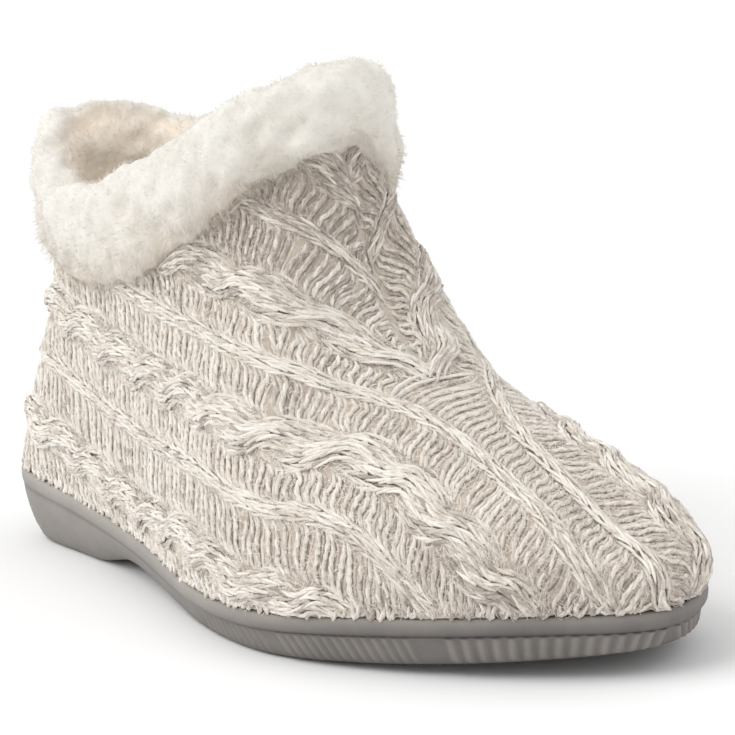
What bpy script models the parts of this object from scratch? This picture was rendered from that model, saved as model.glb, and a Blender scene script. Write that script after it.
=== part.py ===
"""Right-foot knitted house slipper: moulded sole, footbed, cable-knit upper and fleece collar.

Tables are in millimetres, with x from the heel (0) to the toe, +y to the medial side and z up from
the floor. Stations run round the foot: 0 at the heel, 11 at the toe along the lateral side, and
back to the heel, 22, along the medial side.
"""

import math
from collections import namedtuple

import bmesh
import bpy
import numpy as np
from mathutils import Matrix, Vector

MM = 0.001
GAP = 0.3
TINY_STEP = 0.01
SHARP_EDGE_DEG = 45.0


def table(columns, *rows):
    """Rows of a table with named columns."""
    row_type = namedtuple("Row", columns)
    return [row_type(*row) for row in rows]


# Sole outline and feather line, heel to toe
OUTLINE = table(
    "x lateral_y medial_y feather_z",
    (9.5, -26.2, 24.5, 23.6),
    (38.0, -32.5, 31.0, 20.7),
    (72.0, -36.5, 32.0, 17.4),
    (104.0, -44.0, 32.0, 15.0),
    (128.0, -51.0, 35.5, 12.8),
    (150.0, -55.0, 40.0, 11.8),
    (172.0, -54.5, 43.0, 12.6),
    (197.0, -46.5, 43.0, 14.4),
    (220.0, -34.5, 40.0, 15.9),
    (241.0, -18.0, 30.0, 16.8),
)
HEEL_TIP = (0.0, 0.0, 25.0)
TOE_TIP = (254.5, 5.0, 16.6)
TOE_STATION = 11
RING_STATIONS = 2 * TOE_STATION

# Underside: flat heel seat, arch, flat forefoot and toe spring
ARCH_START, ARCH_TOP, ARCH_END = 50.0, 76.0, 128.0
ARCH_HEIGHT = 4.4
SPRING_START = 160.0
TOE_SPRING = 6.4
SPRING_POWER = 1.5

# Side of the sole: inset from the outline at the heel and at the forefoot
LIP_HEIGHT = 4.6
LIP_CORNER = 1.2
SIDE = table(
    "heel_inset forefoot_inset drop rise_share",
    (1.2, 1.2, 0.0, None),
    (0.2, 0.2, LIP_CORNER, None),
    (0.0, 0.0, LIP_HEIGHT - LIP_CORNER, None),
    (0.3, 0.8, LIP_HEIGHT, None),
    (0.5, 2.4, LIP_HEIGHT + 0.4, None),
    (1.6, 2.9, None, 0.55),
    (3.9, 3.8, None, 0.22),
    (7.6, 6.8, None, 0.0),
)
LIP_STEP_START, LIP_STEP_END = 108.0, 140.0

# Upright ribs of the sole's side, by group of stations
RIB_GROUPS = table(
    "first_station last_station first_slant_deg last_slant_deg",
    (5.55, 6.9, -38.0, -32.0),
    (7.1, 8.55, -32.0, -22.0),
    (8.85, 10.9, -14.0, 26.0),
)
RIB_PITCH = 3.2
RIB_WIDTH = 1.5
RIB_PROUD = 0.8
RIB_SUNK = 0.9
RIB_TOP_ROW, RIB_FOOT_ROW = 4, 6
FINE_STATIONS = 200

# Top edge of the knit, from behind the heel to the throat, and the height of the fleece above it
COLLAR = table(
    "x lateral_y medial_y lateral_z medial_z lateral_band medial_band",
    (26.5, -17.5, 17.0, 92.0, 92.0, 32.5, 37.0),
    (47.0, -25.0, 24.5, 83.0, 83.0, 28.5, 43.0),
    (77.0, -29.5, 28.5, 84.0, 83.0, 31.0, 45.0),
    (104.0, -30.0, 28.0, 93.0, 89.0, 31.0, 46.0),
    (127.0, -23.0, 24.0, 109.0, 101.0, 26.0, 39.0),
)
COLLAR_BACK = (19.0, 0.0, 96.0, 35.5)
THROAT = (142.0, 1.5, 123.0, 22.0)
THROAT_STATION = 6

# Crest of the forefoot, throat to toe
CREST = table(
    "x y z",
    (142.0, 1.5, 123.0),
    (154.0, 1.0, 87.5),
    (172.0, 1.0, 66.0),
    (195.0, 1.5, 54.5),
    (214.0, 2.0, 46.8),
    (228.0, 2.5, 38.6),
)

# How the wall leaves the feather line and arrives at the crest or collar
WALL = table(
    "swell rise reach fall",
    (-2.5, 20.0, 1.0, 22.0),
    (-2.5, 20.0, 1.0, 22.0),
    (-1.0, 20.0, 1.5, 20.0),
    (1.5, 22.0, 2.0, 22.0),
    (1.5, 26.0, 4.0, 24.0),
    (1.5, 36.0, 8.0, 26.0),
    (1.5, 46.0, 17.0, 12.0),
    (2.0, 36.0, 16.0, 3.0),
    (2.5, 27.0, 20.0, 0.0),
    (3.0, 22.0, 21.0, 0.0),
    (4.0, 18.0, 20.0, 0.0),
    (5.0, 16.0, 18.0, 0.0),
)
FEATHER_INSET = 1.5
WALL_THICKNESS = 2.6
WALL_ROWS = 20
STEPS_TO_THROAT = 18
STEPS_TO_TOE = 15

# Raised columns of the knit, by distance across them from the middle of the forefoot
CABLES_AT, CABLE_HALF, CABLE_RELIEF = (-56.0, -10.5, 27.5, 68.0, 110.0), 8.0, 1.5
RIBS_AT, RIB_HALF, RIB_RELIEF = (-34.5, 7.5, 45.5, 90.0), 4.5, 0.8
EDGE_FADE = 7.0
STEEP_START, STEEP_END = 3.0, 7.0
SEAM_DEPTH, SEAM_HALF = 1.2, 5.0
SEAM_END_STATION = 8.0
TOE_STRIPS_START, TOE_STRIPS_FULL = 8.2, 9.4

# The rib that guides the others along the side: its height, and how closely the columns lie there
GUIDE_AT = 7.5
GUIDE = table(
    "x z stretch",
    (0.0, 97.0, 0.92),
    (39.0, 91.0, 0.93),
    (64.0, 86.5, 0.94),
    (82.0, 83.3, 0.95),
    (100.0, 79.8, 0.93),
    (123.0, 76.7, 0.89),
    (143.0, 73.8, 0.86),
    (155.0, 70.7, 0.92),
    (163.0, 66.7, 0.96),
    (171.0, 62.9, 1.0),
    (190.0, 55.4, 1.0),
    (217.0, 45.1, 1.0),
)

# Middle of the knit over the forefoot, which drifts to the lateral side
FOREFOOT_MIDDLE = table(
    "x y",
    (174.0, 1.5),
    (190.0, -0.5),
    (203.0, -4.0),
    (215.0, -6.5),
    (232.0, -7.3),
    (250.0, -9.5),
)

# Fleece roll
FLEECE_HALF = 8.0
FLEECE_OUT = -1.4
FLEECE_FRONT = 2.6
FLEECE_FLARE = 1.0
FLEECE_LEAN = 0.16
FLEECE_POWER = 2.6
FLEECE_STEPS = 60
FLEECE_SIDES = 14
LUMP = 0.07

# Footbed
FOOTBED_CLEARANCE = 1.0
FOOTBED_INSET = FEATHER_INSET + WALL_THICKNESS + FOOTBED_CLEARANCE
FOOTBED_THICKNESS = 4.5
FOOTBED_BEVEL = 1.0

COLOURS = {
    "outsole": ((0.36, 0.33, 0.31, 1.0), 0.62),
    "insole": ((0.74, 0.66, 0.58, 1.0), 0.95),
    "upper": ((0.66, 0.60, 0.54, 1.0), 0.92),
    "collar": ((0.87, 0.84, 0.79, 1.0), 0.97),
}


def smooth_step(start, end, x):
    """Soft ramp from 0 at start to 1 at end."""
    f = np.clip((np.asarray(x, float) - start) / (end - start), 0.0, 1.0)
    return f * f * (3.0 - 2.0 * f)


def hermite(rows, slopes, first, second, f):
    """Cubic between two rows of a table, with their slopes."""
    f = f[:, None]
    return (
        rows[first] * (2 * f**3 - 3 * f**2 + 1)
        + slopes[first] * (f**3 - 2 * f**2 + f)
        + rows[second] * (3 * f**2 - 2 * f**3)
        + slopes[second] * (f**3 - f**2)
    )


def closed_spline(rows, t):
    """Smooth closed curve through the rows of a table, one station apart."""
    rows = np.asarray(rows, float)
    count = len(rows)
    one = np.eye(count)
    system = 4 * one + np.roll(one, 1, axis=1) + np.roll(one, -1, axis=1)
    slopes = np.linalg.solve(system, 3 * (np.roll(rows, -1, axis=0) - np.roll(rows, 1, axis=0)))
    t = np.asarray(t, float)
    first = np.floor(t).astype(int) % count
    return hermite(rows, slopes, first, (first + 1) % count, t - np.floor(t))


def open_spline(rows, t):
    """Smooth curve through the rows of a table, one station apart, with free ends."""
    rows = np.asarray(rows, float)
    count = len(rows)
    system = 4 * np.eye(count) + np.eye(count, k=1) + np.eye(count, k=-1)
    system[0, 0] = system[-1, -1] = 2
    turns = np.empty_like(rows)
    turns[1:-1] = 3 * (rows[2:] - rows[:-2])
    turns[0] = 3 * (rows[1] - rows[0])
    turns[-1] = 3 * (rows[-1] - rows[-2])
    slopes = np.linalg.solve(system, turns)
    first = np.clip(np.floor(t).astype(int), 0, count - 2)
    return hermite(rows, slopes, first, first + 1, np.asarray(t, float) - first)


def one_side(rows, other_side):
    """Rows of a table without the columns of the other side."""
    kept = [name for name in rows[0]._fields if not name.startswith(other_side)]
    return [[getattr(row, name) for name in kept] for row in rows]


def both_sides(heel, rows, toe):
    """Rows round the foot from a table of lateral, medial and shared columns."""
    return [heel, *one_side(rows, "medial"), toe, *one_side(rows, "lateral")[::-1]]


def ring_stations():
    """Stations round the foot, closest where the wall turns."""
    side = np.concatenate(
        [
            np.linspace(0, THROAT_STATION, STEPS_TO_THROAT + 1),
            np.linspace(THROAT_STATION, TOE_STATION, STEPS_TO_TOE + 1)[1:],
        ]
    )
    return np.concatenate([side, RING_STATIONS - side[-2:0:-1]])


def outline(t):
    """Outline points, outward directions and feather heights at the stations."""
    rows = both_sides(HEEL_TIP, OUTLINE, TOE_TIP)
    place = closed_spline(rows, t)
    t = np.asarray(t)
    along = closed_spline(rows, t + TINY_STEP) - closed_spline(rows, t - TINY_STEP)
    along = along[:, :2] / np.linalg.norm(along[:, :2], axis=1)[:, None]
    outward = np.stack([along[:, 1], -along[:, 0]], axis=1)
    return place[:, :2], outward, place[:, 2]


def underside(x):
    """Height of the sole's underside above the floor."""
    arch = smooth_step(ARCH_START, ARCH_TOP, x) * (1 - smooth_step(ARCH_TOP, ARCH_END, x))
    spring = np.clip((x - SPRING_START) / (TOE_TIP[0] - SPRING_START), 0, None) ** SPRING_POWER
    return ARCH_HEIGHT * arch + TOE_SPRING * spring


def side_point(t, row):
    """Ring of the sole's side at one row of its table."""
    place, outward, feather = outline(t)
    front = smooth_step(LIP_STEP_START, LIP_STEP_END, place[:, 0])
    inset = row.heel_inset + (row.forefoot_inset - row.heel_inset) * front
    low = underside(place[:, 0])
    if row.rise_share is None:
        z = feather - row.drop
    else:
        z = low + row.rise_share * (feather - LIP_HEIGHT - low)
    return np.column_stack([place - outward * inset[:, None], z])


def bridge(first, second, count):
    """Quads between two closed rings of a mesh."""
    turn = [(k, (k + 1) % count) for k in range(count)]
    return [(first + a, first + b, second + b, second + a) for a, b in turn]


def across(start, count):
    """Quads across a closed ring, from each lateral point to its medial partner."""
    half = count // 2
    faces = []
    for k in range(half):
        near, far = (count - k) % count, count - k - 1
        corners = dict.fromkeys((start + k, start + k + 1, start + far, start + near))
        faces.append(tuple(corners))
    return faces


def stacked(levels, count):
    """Faces of a solid made of closed rings one under the other, closed across both ends."""
    faces = across(0, count) + across((levels - 1) * count, count)
    for level in range(levels - 1):
        faces += bridge(level * count, (level + 1) * count, count)
    return faces


def add_mesh(name, points, faces, collection):
    """Closed solid from points in millimetres, moved to the frame's origin, its faces turned outward."""
    mesh = bpy.data.meshes.new(name)
    mesh.from_pydata([tuple(p) for p in (np.asarray(points) - FRAME) * MM], [], faces)
    turned = bmesh.new()
    turned.from_mesh(mesh)
    bmesh.ops.recalc_face_normals(turned, faces=turned.faces)
    turned.to_mesh(mesh)
    turned.free()
    obj = bpy.data.objects.new(name, mesh)
    collection.objects.link(obj)
    return obj


def finish(obj):
    """Smooth shading and the piece's own material."""
    colour, roughness = COLOURS[obj.name]
    material = bpy.data.materials.new(obj.name)
    material.use_nodes = True
    shader = material.node_tree.nodes["Principled BSDF"]
    shader.inputs["Base Color"].default_value = colour
    shader.inputs["Roughness"].default_value = roughness
    shader.inputs["Metallic"].default_value = 0.0
    obj.data.materials.append(material)
    obj.data.shade_smooth()
    obj.data.set_sharp_from_angle(angle=math.radians(SHARP_EDGE_DEG))


def build_outsole(parts, cutters):
    """Unit sole: rings down its side, closed across the top and the underside, with ribs joined on."""
    t = ring_stations()
    count = len(t)
    rings = [side_point(t, row) for row in SIDE]
    sole = add_mesh("outsole", np.concatenate(rings), stacked(len(rings), count), parts)
    ribs = build_ribs(cutters)
    join = sole.modifiers.new("ribs", "BOOLEAN")
    join.operation = "UNION"
    join.object = ribs
    finish(sole)


def rib_stations():
    """Station and slant of every rib, spaced evenly along the sole's edge in each group."""
    found = []
    for group in RIB_GROUPS:
        fine = np.linspace(group.first_station, group.last_station, FINE_STATIONS)
        place, _, _ = outline(fine)
        along = np.concatenate([[0], np.cumsum(np.linalg.norm(np.diff(place, axis=0), axis=1))])
        count = int(along[-1] // RIB_PITCH) + 1
        share = np.linspace(0, 1, count)
        stations = np.interp(share * along[-1], along, fine)
        turn = group.last_slant_deg - group.first_slant_deg
        slants = np.radians(group.first_slant_deg + turn * share)
        found += [(station, slant) for station, slant in zip(stations, slants)]
        found += [(RING_STATIONS - station, -slant) for station, slant in zip(stations, slants)]
    return found


def build_ribs(cutters):
    """Bars standing on the recessed band under the lip."""
    bars = bmesh.new()
    for station, slant in rib_stations():
        top = side_point([station], SIDE[RIB_TOP_ROW])[0]
        low = side_point([station], SIDE[RIB_FOOT_ROW])[0]
        _, outward, _ = outline([station])
        out = Vector((*outward[0], 0.0))
        along = Vector((-out.y, out.x, 0.0))
        spine = Vector(top - low)
        lean = along * math.tan(slant) * spine.z
        upright = spine + lean
        middle = Vector((top + low) / 2 - FRAME) + out * (RIB_PROUD - RIB_SUNK) / 2
        frame = Matrix.Identity(4)
        frame.col[0].xyz = along * RIB_WIDTH
        frame.col[1].xyz = out * (RIB_PROUD + RIB_SUNK)
        frame.col[2].xyz = upright
        frame.translation = middle
        bmesh.ops.create_cube(bars, size=1.0, matrix=Matrix.Scale(MM, 4) @ frame)
    bmesh.ops.recalc_face_normals(bars, faces=bars.faces)
    mesh = bpy.data.meshes.new("sole_ribs")
    bars.to_mesh(mesh)
    bars.free()
    obj = bpy.data.objects.new("sole_ribs", mesh)
    obj.hide_render = True
    obj.display_type = "WIRE"
    cutters.objects.link(obj)
    return obj


def build_insole(parts):
    """Footbed inside the upper's wall, a little above the sole."""
    t = ring_stations()
    count = len(t)
    place, outward, feather = outline(t)
    rings = []
    for inset, lift in (
        (FOOTBED_INSET, GAP),
        (FOOTBED_INSET, FOOTBED_THICKNESS - FOOTBED_BEVEL),
        (FOOTBED_INSET + FOOTBED_BEVEL, FOOTBED_THICKNESS),
    ):
        rings.append(np.column_stack([place - outward * inset, feather + lift]))
    finish(add_mesh("insole", np.concatenate(rings), stacked(len(rings), count), parts))


def collar_edge(e):
    """Top edge of the knit and the fleece's height above it, at stations 0 to 12 round the collar."""
    return closed_spline(both_sides(COLLAR_BACK, COLLAR, THROAT), e)


def wall_grid(t):
    """Points of the upper's outer wall by column and row, and the station of each column."""
    place, outward, feather = outline(t)
    station = np.where(t <= TOE_STATION, t, RING_STATIONS - t)
    out = np.column_stack([outward, np.zeros(len(t))])
    up = np.array([0.0, 0.0, 1.0])
    foot = np.column_stack([place - outward * FEATHER_INSET, feather + GAP])
    collar_station = np.where(t <= TOE_STATION, t, t - RING_STATIONS + 2 * THROAT_STATION)
    edge = collar_edge(np.where(station <= THROAT_STATION, collar_station, THROAT_STATION))[:, :3]
    past_throat = np.maximum(station - THROAT_STATION, 0)
    crest = open_spline(CREST, past_throat)
    onward = open_spline(CREST, past_throat + TINY_STEP) - crest
    slope = (onward[:, 2] / onward[:, 0])[:, None]
    top = np.where((station <= THROAT_STATION)[:, None], edge, crest)
    table = np.asarray(WALL)
    handles = closed_spline(np.concatenate([table, table[-2:0:-1]]), t)
    swell, rise, reach, fall = (column[:, None] for column in handles.T)
    sideways = np.zeros_like(out)
    sideways[:, 1] = np.sign(t - TOE_STATION)
    toe = smooth_step(TOE_STATION - 2, TOE_STATION, station)[:, None]
    over = sideways * (1 - toe) + out * toe
    front = np.clip(station - THROAT_STATION + 1, 0, 1)[:, None]
    arrive = out * (1 - front) + over * front
    arrive /= np.linalg.norm(arrive, axis=1)[:, None]
    leave = foot + out * swell + up * rise
    land = top + arrive * reach + up * (slope * front * arrive[:, :1] * reach - fall)
    v = np.linspace(0, 1, WALL_ROWS + 1)[None, :, None]
    points = [p[:, None] for p in (foot, leave, land, top)]
    weights = ((1 - v) ** 3, 3 * v * (1 - v) ** 2, 3 * v**2 * (1 - v), v**3)
    return sum(p * w for p, w in zip(points, weights)), station


def raised(distance, half):
    """Rounded rise, 1 in the middle and 0 past half its width."""
    return np.where(np.abs(distance) < half, np.cos(np.pi * distance / (2 * half)) ** 2, 0.0)


def side_strip(grid, climbed):
    """Distance across the knit's columns along the side, from the guide rib."""
    guide = np.asarray(GUIDE)
    over = grid[..., 2] - np.interp(grid[..., 0], guide[:, 0], guide[:, 1])
    past_top = np.maximum(-over[:, -1], 0)
    at_guide = [np.interp(0.0, rise, run) for rise, run in zip(np.maximum.accumulate(over, axis=1), climbed)]
    below_guide = (np.asarray(at_guide) + past_top)[:, None] - climbed
    return GUIDE_AT + below_guide / np.interp(grid[..., 0], guide[:, 0], guide[:, 2])


def toe_strip(grid):
    """Distance round the forefoot from the middle of the knit, square to the length of the shoe."""
    crest = open_spline(CREST, np.linspace(0, len(CREST) - 1, FINE_STATIONS))
    front = wall_grid(np.array([float(TOE_STATION)]))[0][0, ::-1]
    ridge = np.concatenate([crest, front[1:]])
    ridge = ridge[np.argsort(ridge[:, 0], kind="stable")]
    x = grid[..., 0]
    middle = np.asarray(FOREFOOT_MIDDLE)
    sideways = grid[..., 1] - np.interp(x, middle[:, 0], middle[:, 1])
    below = np.interp(x, ridge[:, 0], ridge[:, 2]) - grid[..., 2]
    return np.hypot(sideways, np.maximum(below, 0))


def knit_relief(grid, station):
    """Height of the cables and ribs over the plain wall, even where they climb to the ankle."""
    lengths = np.linalg.norm(np.diff(grid, axis=1), axis=2)
    climbed = np.concatenate([np.zeros((len(grid), 1)), np.cumsum(lengths, axis=1)], axis=1)
    below_top = climbed[:, -1:] - climbed
    toe = smooth_step(TOE_STRIPS_START, TOE_STRIPS_FULL, station)[:, None]
    strip = side_strip(grid, climbed) * (1 - toe) + toe_strip(grid) * toe
    cables = sum(raised(strip - place, CABLE_HALF) for place in CABLES_AT)
    ribs = sum(raised(strip - place, RIB_HALF) for place in RIBS_AT)
    height = (CABLE_RELIEF * cables + RIB_RELIEF * ribs) * smooth_step(0, EDGE_FADE, climbed)
    height = height * (1 - smooth_step(STEEP_START, STEEP_END, np.abs(np.gradient(strip, axis=0))))
    open_top = (station <= THROAT_STATION)[:, None]
    height = np.where(open_top, height * smooth_step(0, EDGE_FADE, below_top), height)
    seam = smooth_step(SEAM_END_STATION, THROAT_STATION + 1, station)
    seam = np.where(station < THROAT_STATION, 0, seam)[:, None]
    return height - SEAM_DEPTH * seam * raised(below_top, SEAM_HALF)


def vertex_normals(points, faces):
    """Unit normals of a quad mesh, averaged over each point's faces."""
    quads = np.asarray(faces)
    first = points[quads[:, 2]] - points[quads[:, 0]]
    second = points[quads[:, 3]] - points[quads[:, 1]]
    facing = np.cross(first, second)
    normals = np.zeros_like(points)
    for corner in range(4):
        np.add.at(normals, quads[:, corner], facing)
    return normals / np.linalg.norm(normals, axis=1)[:, None]


def build_upper(parts):
    """Knit upper: one wall, open at the collar and underneath, its cables and ribs raised."""
    t = ring_stations()
    count = len(t)
    grid, station = wall_grid(t)
    relief = knit_relief(grid, station)
    rows = WALL_ROWS + 1
    index = np.arange(count * rows).reshape(count, rows)
    partner = [(count - k) % count for k in range(count)]
    for k in range(count):
        if station[k] > THROAT_STATION - 1e-6 and t[k] > TOE_STATION:
            index[k, -1] = index[partner[k], -1]
    faces = []
    for k in range(count):
        following = (k + 1) % count
        for j in range(WALL_ROWS):
            faces.append((index[k, j], index[following, j], index[following, j + 1], index[k, j + 1]))
    used, packed = np.unique(np.asarray(faces), return_inverse=True)
    faces = packed.reshape(-1, 4)
    base = grid.reshape(-1, 3)[used]
    height = relief.reshape(-1)[used]
    normals = vertex_normals(base, faces)
    outer = base + normals * height[:, None]
    inner = base - normals * WALL_THICKNESS
    shift = len(base)
    quads = [tuple(f) for f in faces] + [tuple(f + shift) for f in faces]
    slot = {old: new for new, old in enumerate(used)}
    feather = [slot[index[k, 0]] for k in range(count)]
    collar = [slot[index[k, -1]] for k in range(count) if station[k] <= THROAT_STATION + 1e-6]
    collar = list(dict.fromkeys(collar))
    for loop in (feather, collar):
        for a, b in zip(loop, loop[1:] + loop[:1]):
            quads.append((a, a + shift, b + shift, b))
    finish(add_mesh("upper", np.concatenate([outer, inner]), quads, parts))


def build_collar(parts):
    """Fleece roll standing on the knit's top edge, its skin gently lumpy."""
    ring = 2 * THROAT_STATION
    e = np.linspace(0, ring, FLEECE_STEPS, endpoint=False)
    edge = collar_edge(e)
    along = (collar_edge(e + TINY_STEP) - collar_edge(e - TINY_STEP))[:, :2]
    along /= np.linalg.norm(along, axis=1)[:, None]
    outward = np.column_stack([along[:, 1], -along[:, 0], np.zeros(len(e))])
    band = edge[:, 3]
    front = smooth_step(THROAT_STATION - 2, THROAT_STATION, np.minimum(e, ring - e))
    angle = np.linspace(0, 2 * np.pi, FLEECE_SIDES, endpoint=False)
    wide = np.sign(np.cos(angle)) * np.abs(np.cos(angle)) ** (2 / FLEECE_POWER)
    tall = np.sign(np.sin(angle)) * np.abs(np.sin(angle)) ** (2 / FLEECE_POWER)
    lumps = np.sin(7 * e[:, None] + 2 * angle) * np.cos(3 * e[:, None] - 3 * angle + 1)
    half = FLEECE_HALF * (1 + LUMP * lumps)
    out = FLEECE_OUT + FLEECE_FRONT * front[:, None] + FLEECE_FLARE * tall + half * wide
    lift = GAP + band[:, None] / 2 * (1 + tall)
    points = edge[:, None, :3] + outward[:, None] * out[..., None]
    lean = -FLEECE_LEAN * front[:, None] * lift
    points = points + np.stack([lean, np.zeros_like(lift), lift], axis=2)
    faces = []
    for k in range(FLEECE_STEPS):
        following = (k + 1) % FLEECE_STEPS
        for j in range(FLEECE_SIDES):
            above = (j + 1) % FLEECE_SIDES
            corners = ((k, j), (following, j), (following, above), (k, above))
            faces.append(tuple(step * FLEECE_SIDES + side for step, side in corners))
    finish(add_mesh("collar", points.reshape(-1, 3), faces, parts))


def new_collection(name):
    """Collection linked to the scene."""
    collection = bpy.data.collections.new(name)
    bpy.context.scene.collection.children.link(collection)
    return collection


def frame_origin():
    """Point under the middle of the sole's outline."""
    place, _, _ = outline(np.linspace(0, RING_STATIONS, RING_STATIONS * FINE_STATIONS))
    middle = (place.min(axis=0) + place.max(axis=0)) / 2
    return np.array([middle[0], middle[1], 0.0])


FRAME = frame_origin()


def main():
    """Clear the scene and build the slipper's pieces."""
    for obj in list(bpy.data.objects):
        bpy.data.objects.remove(obj)
    parts = new_collection("house_slipper")
    cutters = new_collection("cutters")
    build_outsole(parts, cutters)
    build_insole(parts)
    build_upper(parts)
    build_collar(parts)


main()
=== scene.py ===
"""Looks of a right-foot knitted house slipper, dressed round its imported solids.

Lengths are millimetres in the shoe's own sizes unless a name says otherwise: x runs from the heel to
the toe, +y to the medial side and z up from the floor. Stations run round the foot: 0 at the heel,
11 at the toe along the lateral side, and back to the heel, 22, along the medial side.
"""

import logging
import math
from dataclasses import dataclass, field
from enum import Enum
from typing import Iterable, Sequence

import bpy
import numpy as np
from mathutils import Matrix


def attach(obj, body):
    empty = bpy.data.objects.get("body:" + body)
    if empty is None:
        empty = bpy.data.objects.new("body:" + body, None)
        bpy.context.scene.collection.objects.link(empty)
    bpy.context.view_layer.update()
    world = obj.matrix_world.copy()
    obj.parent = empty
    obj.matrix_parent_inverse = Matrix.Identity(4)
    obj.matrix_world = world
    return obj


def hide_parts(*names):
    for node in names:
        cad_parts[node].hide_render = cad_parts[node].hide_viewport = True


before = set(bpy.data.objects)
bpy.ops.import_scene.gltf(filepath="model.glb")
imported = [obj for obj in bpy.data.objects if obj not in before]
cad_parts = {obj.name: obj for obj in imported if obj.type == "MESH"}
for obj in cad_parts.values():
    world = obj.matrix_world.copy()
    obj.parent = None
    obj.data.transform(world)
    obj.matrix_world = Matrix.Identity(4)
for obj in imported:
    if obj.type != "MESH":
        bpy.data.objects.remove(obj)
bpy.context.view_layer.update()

Array = np.ndarray
Row = tuple[float, ...]
Colour = tuple[float, float, float]
LumpRows = Sequence[tuple[float, int, float]]
Socket = bpy.types.NodeSocket

MM = 0.001
GAP = 0.3
TINY_STEP = 0.01
FAR = 1e3
HAIR_STEPS = 4
HAIR_TAPER = 0.7
TONE = "tone"
log = logging.getLogger("house_slipper")


class Side(Enum):
    """Side of the foot, with the direction of its y."""

    LATERAL = -1
    MEDIAL = 1


class Column(Enum):
    """Kind of knit column, with half its width."""

    RIB = 3.0
    CABLE = 7.0


# Curves and fields


def smooth_step(start: float, end: float, x: Array | float) -> Array:
    """Soft ramp from 0 at start to 1 at end."""
    f = np.clip((np.asarray(x, float) - start) / (end - start), 0.0, 1.0)
    return f * f * (3.0 - 2.0 * f)


def raised(distance: Array, half: float) -> Array:
    """Rounded rise, 1 in the middle and 0 past half its width."""
    return np.where(np.abs(distance) < half, np.cos(np.pi * distance / (2 * half)) ** 2, 0.0)


def hermite(rows: Array, slopes: Array, first: Array, second: Array, f: Array) -> Array:
    """Cubic between two rows of a table, with their slopes.

    Args:
        rows: Rows of the table.
        slopes: Slope at each row.
        first: Index of the row before each place.
        second: Index of the row after it.
        f: Share of the way between them.

    Returns:
        One interpolated row for each place.
    """
    f = f[:, None]
    return (
        rows[first] * (2 * f**3 - 3 * f**2 + 1)
        + slopes[first] * (f**3 - 2 * f**2 + f)
        + rows[second] * (3 * f**2 - 2 * f**3)
        + slopes[second] * (f**3 - f**2)
    )


def closed_spline(rows: Sequence[Row], t: Array) -> Array:
    """Smooth closed curve through the rows of a table, one station apart.

    Args:
        rows: Rows of the table, in order round the curve.
        t: Stations to read.

    Returns:
        One row for each station.
    """
    rows = np.asarray(rows, float)
    count = len(rows)
    one = np.eye(count)
    system = 4 * one + np.roll(one, 1, axis=1) + np.roll(one, -1, axis=1)
    slopes = np.linalg.solve(system, 3 * (np.roll(rows, -1, axis=0) - np.roll(rows, 1, axis=0)))
    t = np.asarray(t, float)
    first = np.floor(t).astype(int) % count
    return hermite(rows, slopes, first, (first + 1) % count, t - np.floor(t))


def open_spline(rows: Sequence[Row], t: Array) -> Array:
    """Smooth curve through the rows of a table, one station apart, with free ends.

    Args:
        rows: Rows of the table, in order along the curve.
        t: Stations to read.

    Returns:
        One row for each station.
    """
    rows = np.asarray(rows, float)
    count = len(rows)
    system = 4 * np.eye(count) + np.eye(count, k=1) + np.eye(count, k=-1)
    system[0, 0] = system[-1, -1] = 2
    turns = np.empty_like(rows)
    turns[1:-1] = 3 * (rows[2:] - rows[:-2])
    turns[0] = 3 * (rows[1] - rows[0])
    turns[-1] = 3 * (rows[-1] - rows[-2])
    slopes = np.linalg.solve(system, turns)
    first = np.clip(np.floor(t).astype(int), 0, count - 2)
    return hermite(rows, slopes, first, first + 1, np.asarray(t, float) - first)


def lumps(points: Array, wavelength: float, seed: int, waves: int = 28) -> Array:
    """Smooth random field over points, about -1 to 1.

    Args:
        points: Points, three numbers each in the last axis.
        wavelength: Typical size of a lump.
        seed: Seed of the field.
        waves: Number of plane waves that are summed.

    Returns:
        One value for each point.
    """
    rng = np.random.default_rng(seed)
    heading = unit(rng.normal(size=(waves, 3)))
    heading *= 2 * np.pi / wavelength * rng.uniform(0.7, 1.4, (waves, 1))
    phase = rng.uniform(0, 2 * np.pi, waves)
    total = sum(np.cos(points @ heading[k] + phase[k]) for k in range(waves))
    return total / math.sqrt(waves)


def lump_sum(points: Array, rows: LumpRows) -> Array:
    """Sum of random fields over points.

    Args:
        points: Points, three numbers each in the last axis.
        rows: Wavelength, seed and share of each field.

    Returns:
        One value for each point.
    """
    return sum(share * lumps(points, wavelength, seed) for wavelength, seed, share in rows)


def unit(vectors: Array) -> Array:
    """Vectors of the last axis brought to length one."""
    return vectors / np.maximum(np.linalg.norm(vectors, axis=-1, keepdims=True), 1e-9)


def along_length(points: Array) -> Array:
    """Length run along a line of points, from 0 at its start."""
    return np.concatenate([[0.0], np.cumsum(np.linalg.norm(np.diff(points, axis=0), axis=1))])


# Meshes


def ring_faces(rings: int, count: int, closed_rings: bool) -> Array:
    """Quads of a sheet of rings, each ring joined end to end.

    Args:
        rings: Number of rings.
        count: Points in each ring.
        closed_rings: True where the last ring joins the first.

    Returns:
        Corner numbers, four a face.
    """
    ring = np.arange(rings if closed_rings else rings - 1)[:, None]
    place = np.arange(count)[None, :]
    following = (ring + 1) % rings
    beside = (place + 1) % count
    corners = ((ring, place), (following, place), (following, beside), (ring, beside))
    return np.stack([level * count + at for level, at in corners], axis=-1).reshape(-1, 4)


def across_faces(start: int, count: int, upward: bool) -> list[tuple[int, ...]]:
    """Faces across a closed ring, from each lateral point to its medial partner.

    Args:
        start: Number of the ring's first point.
        count: Points in the ring.
        upward: True where the faces look up.

    Returns:
        Corner numbers of each face.
    """
    faces = []
    for k in range(count // 2):
        corners = (start + k, start + k + 1, start + count - k - 1, start + (count - k) % count)
        faces.append(corners if upward else corners[::-1])
    return faces


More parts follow.
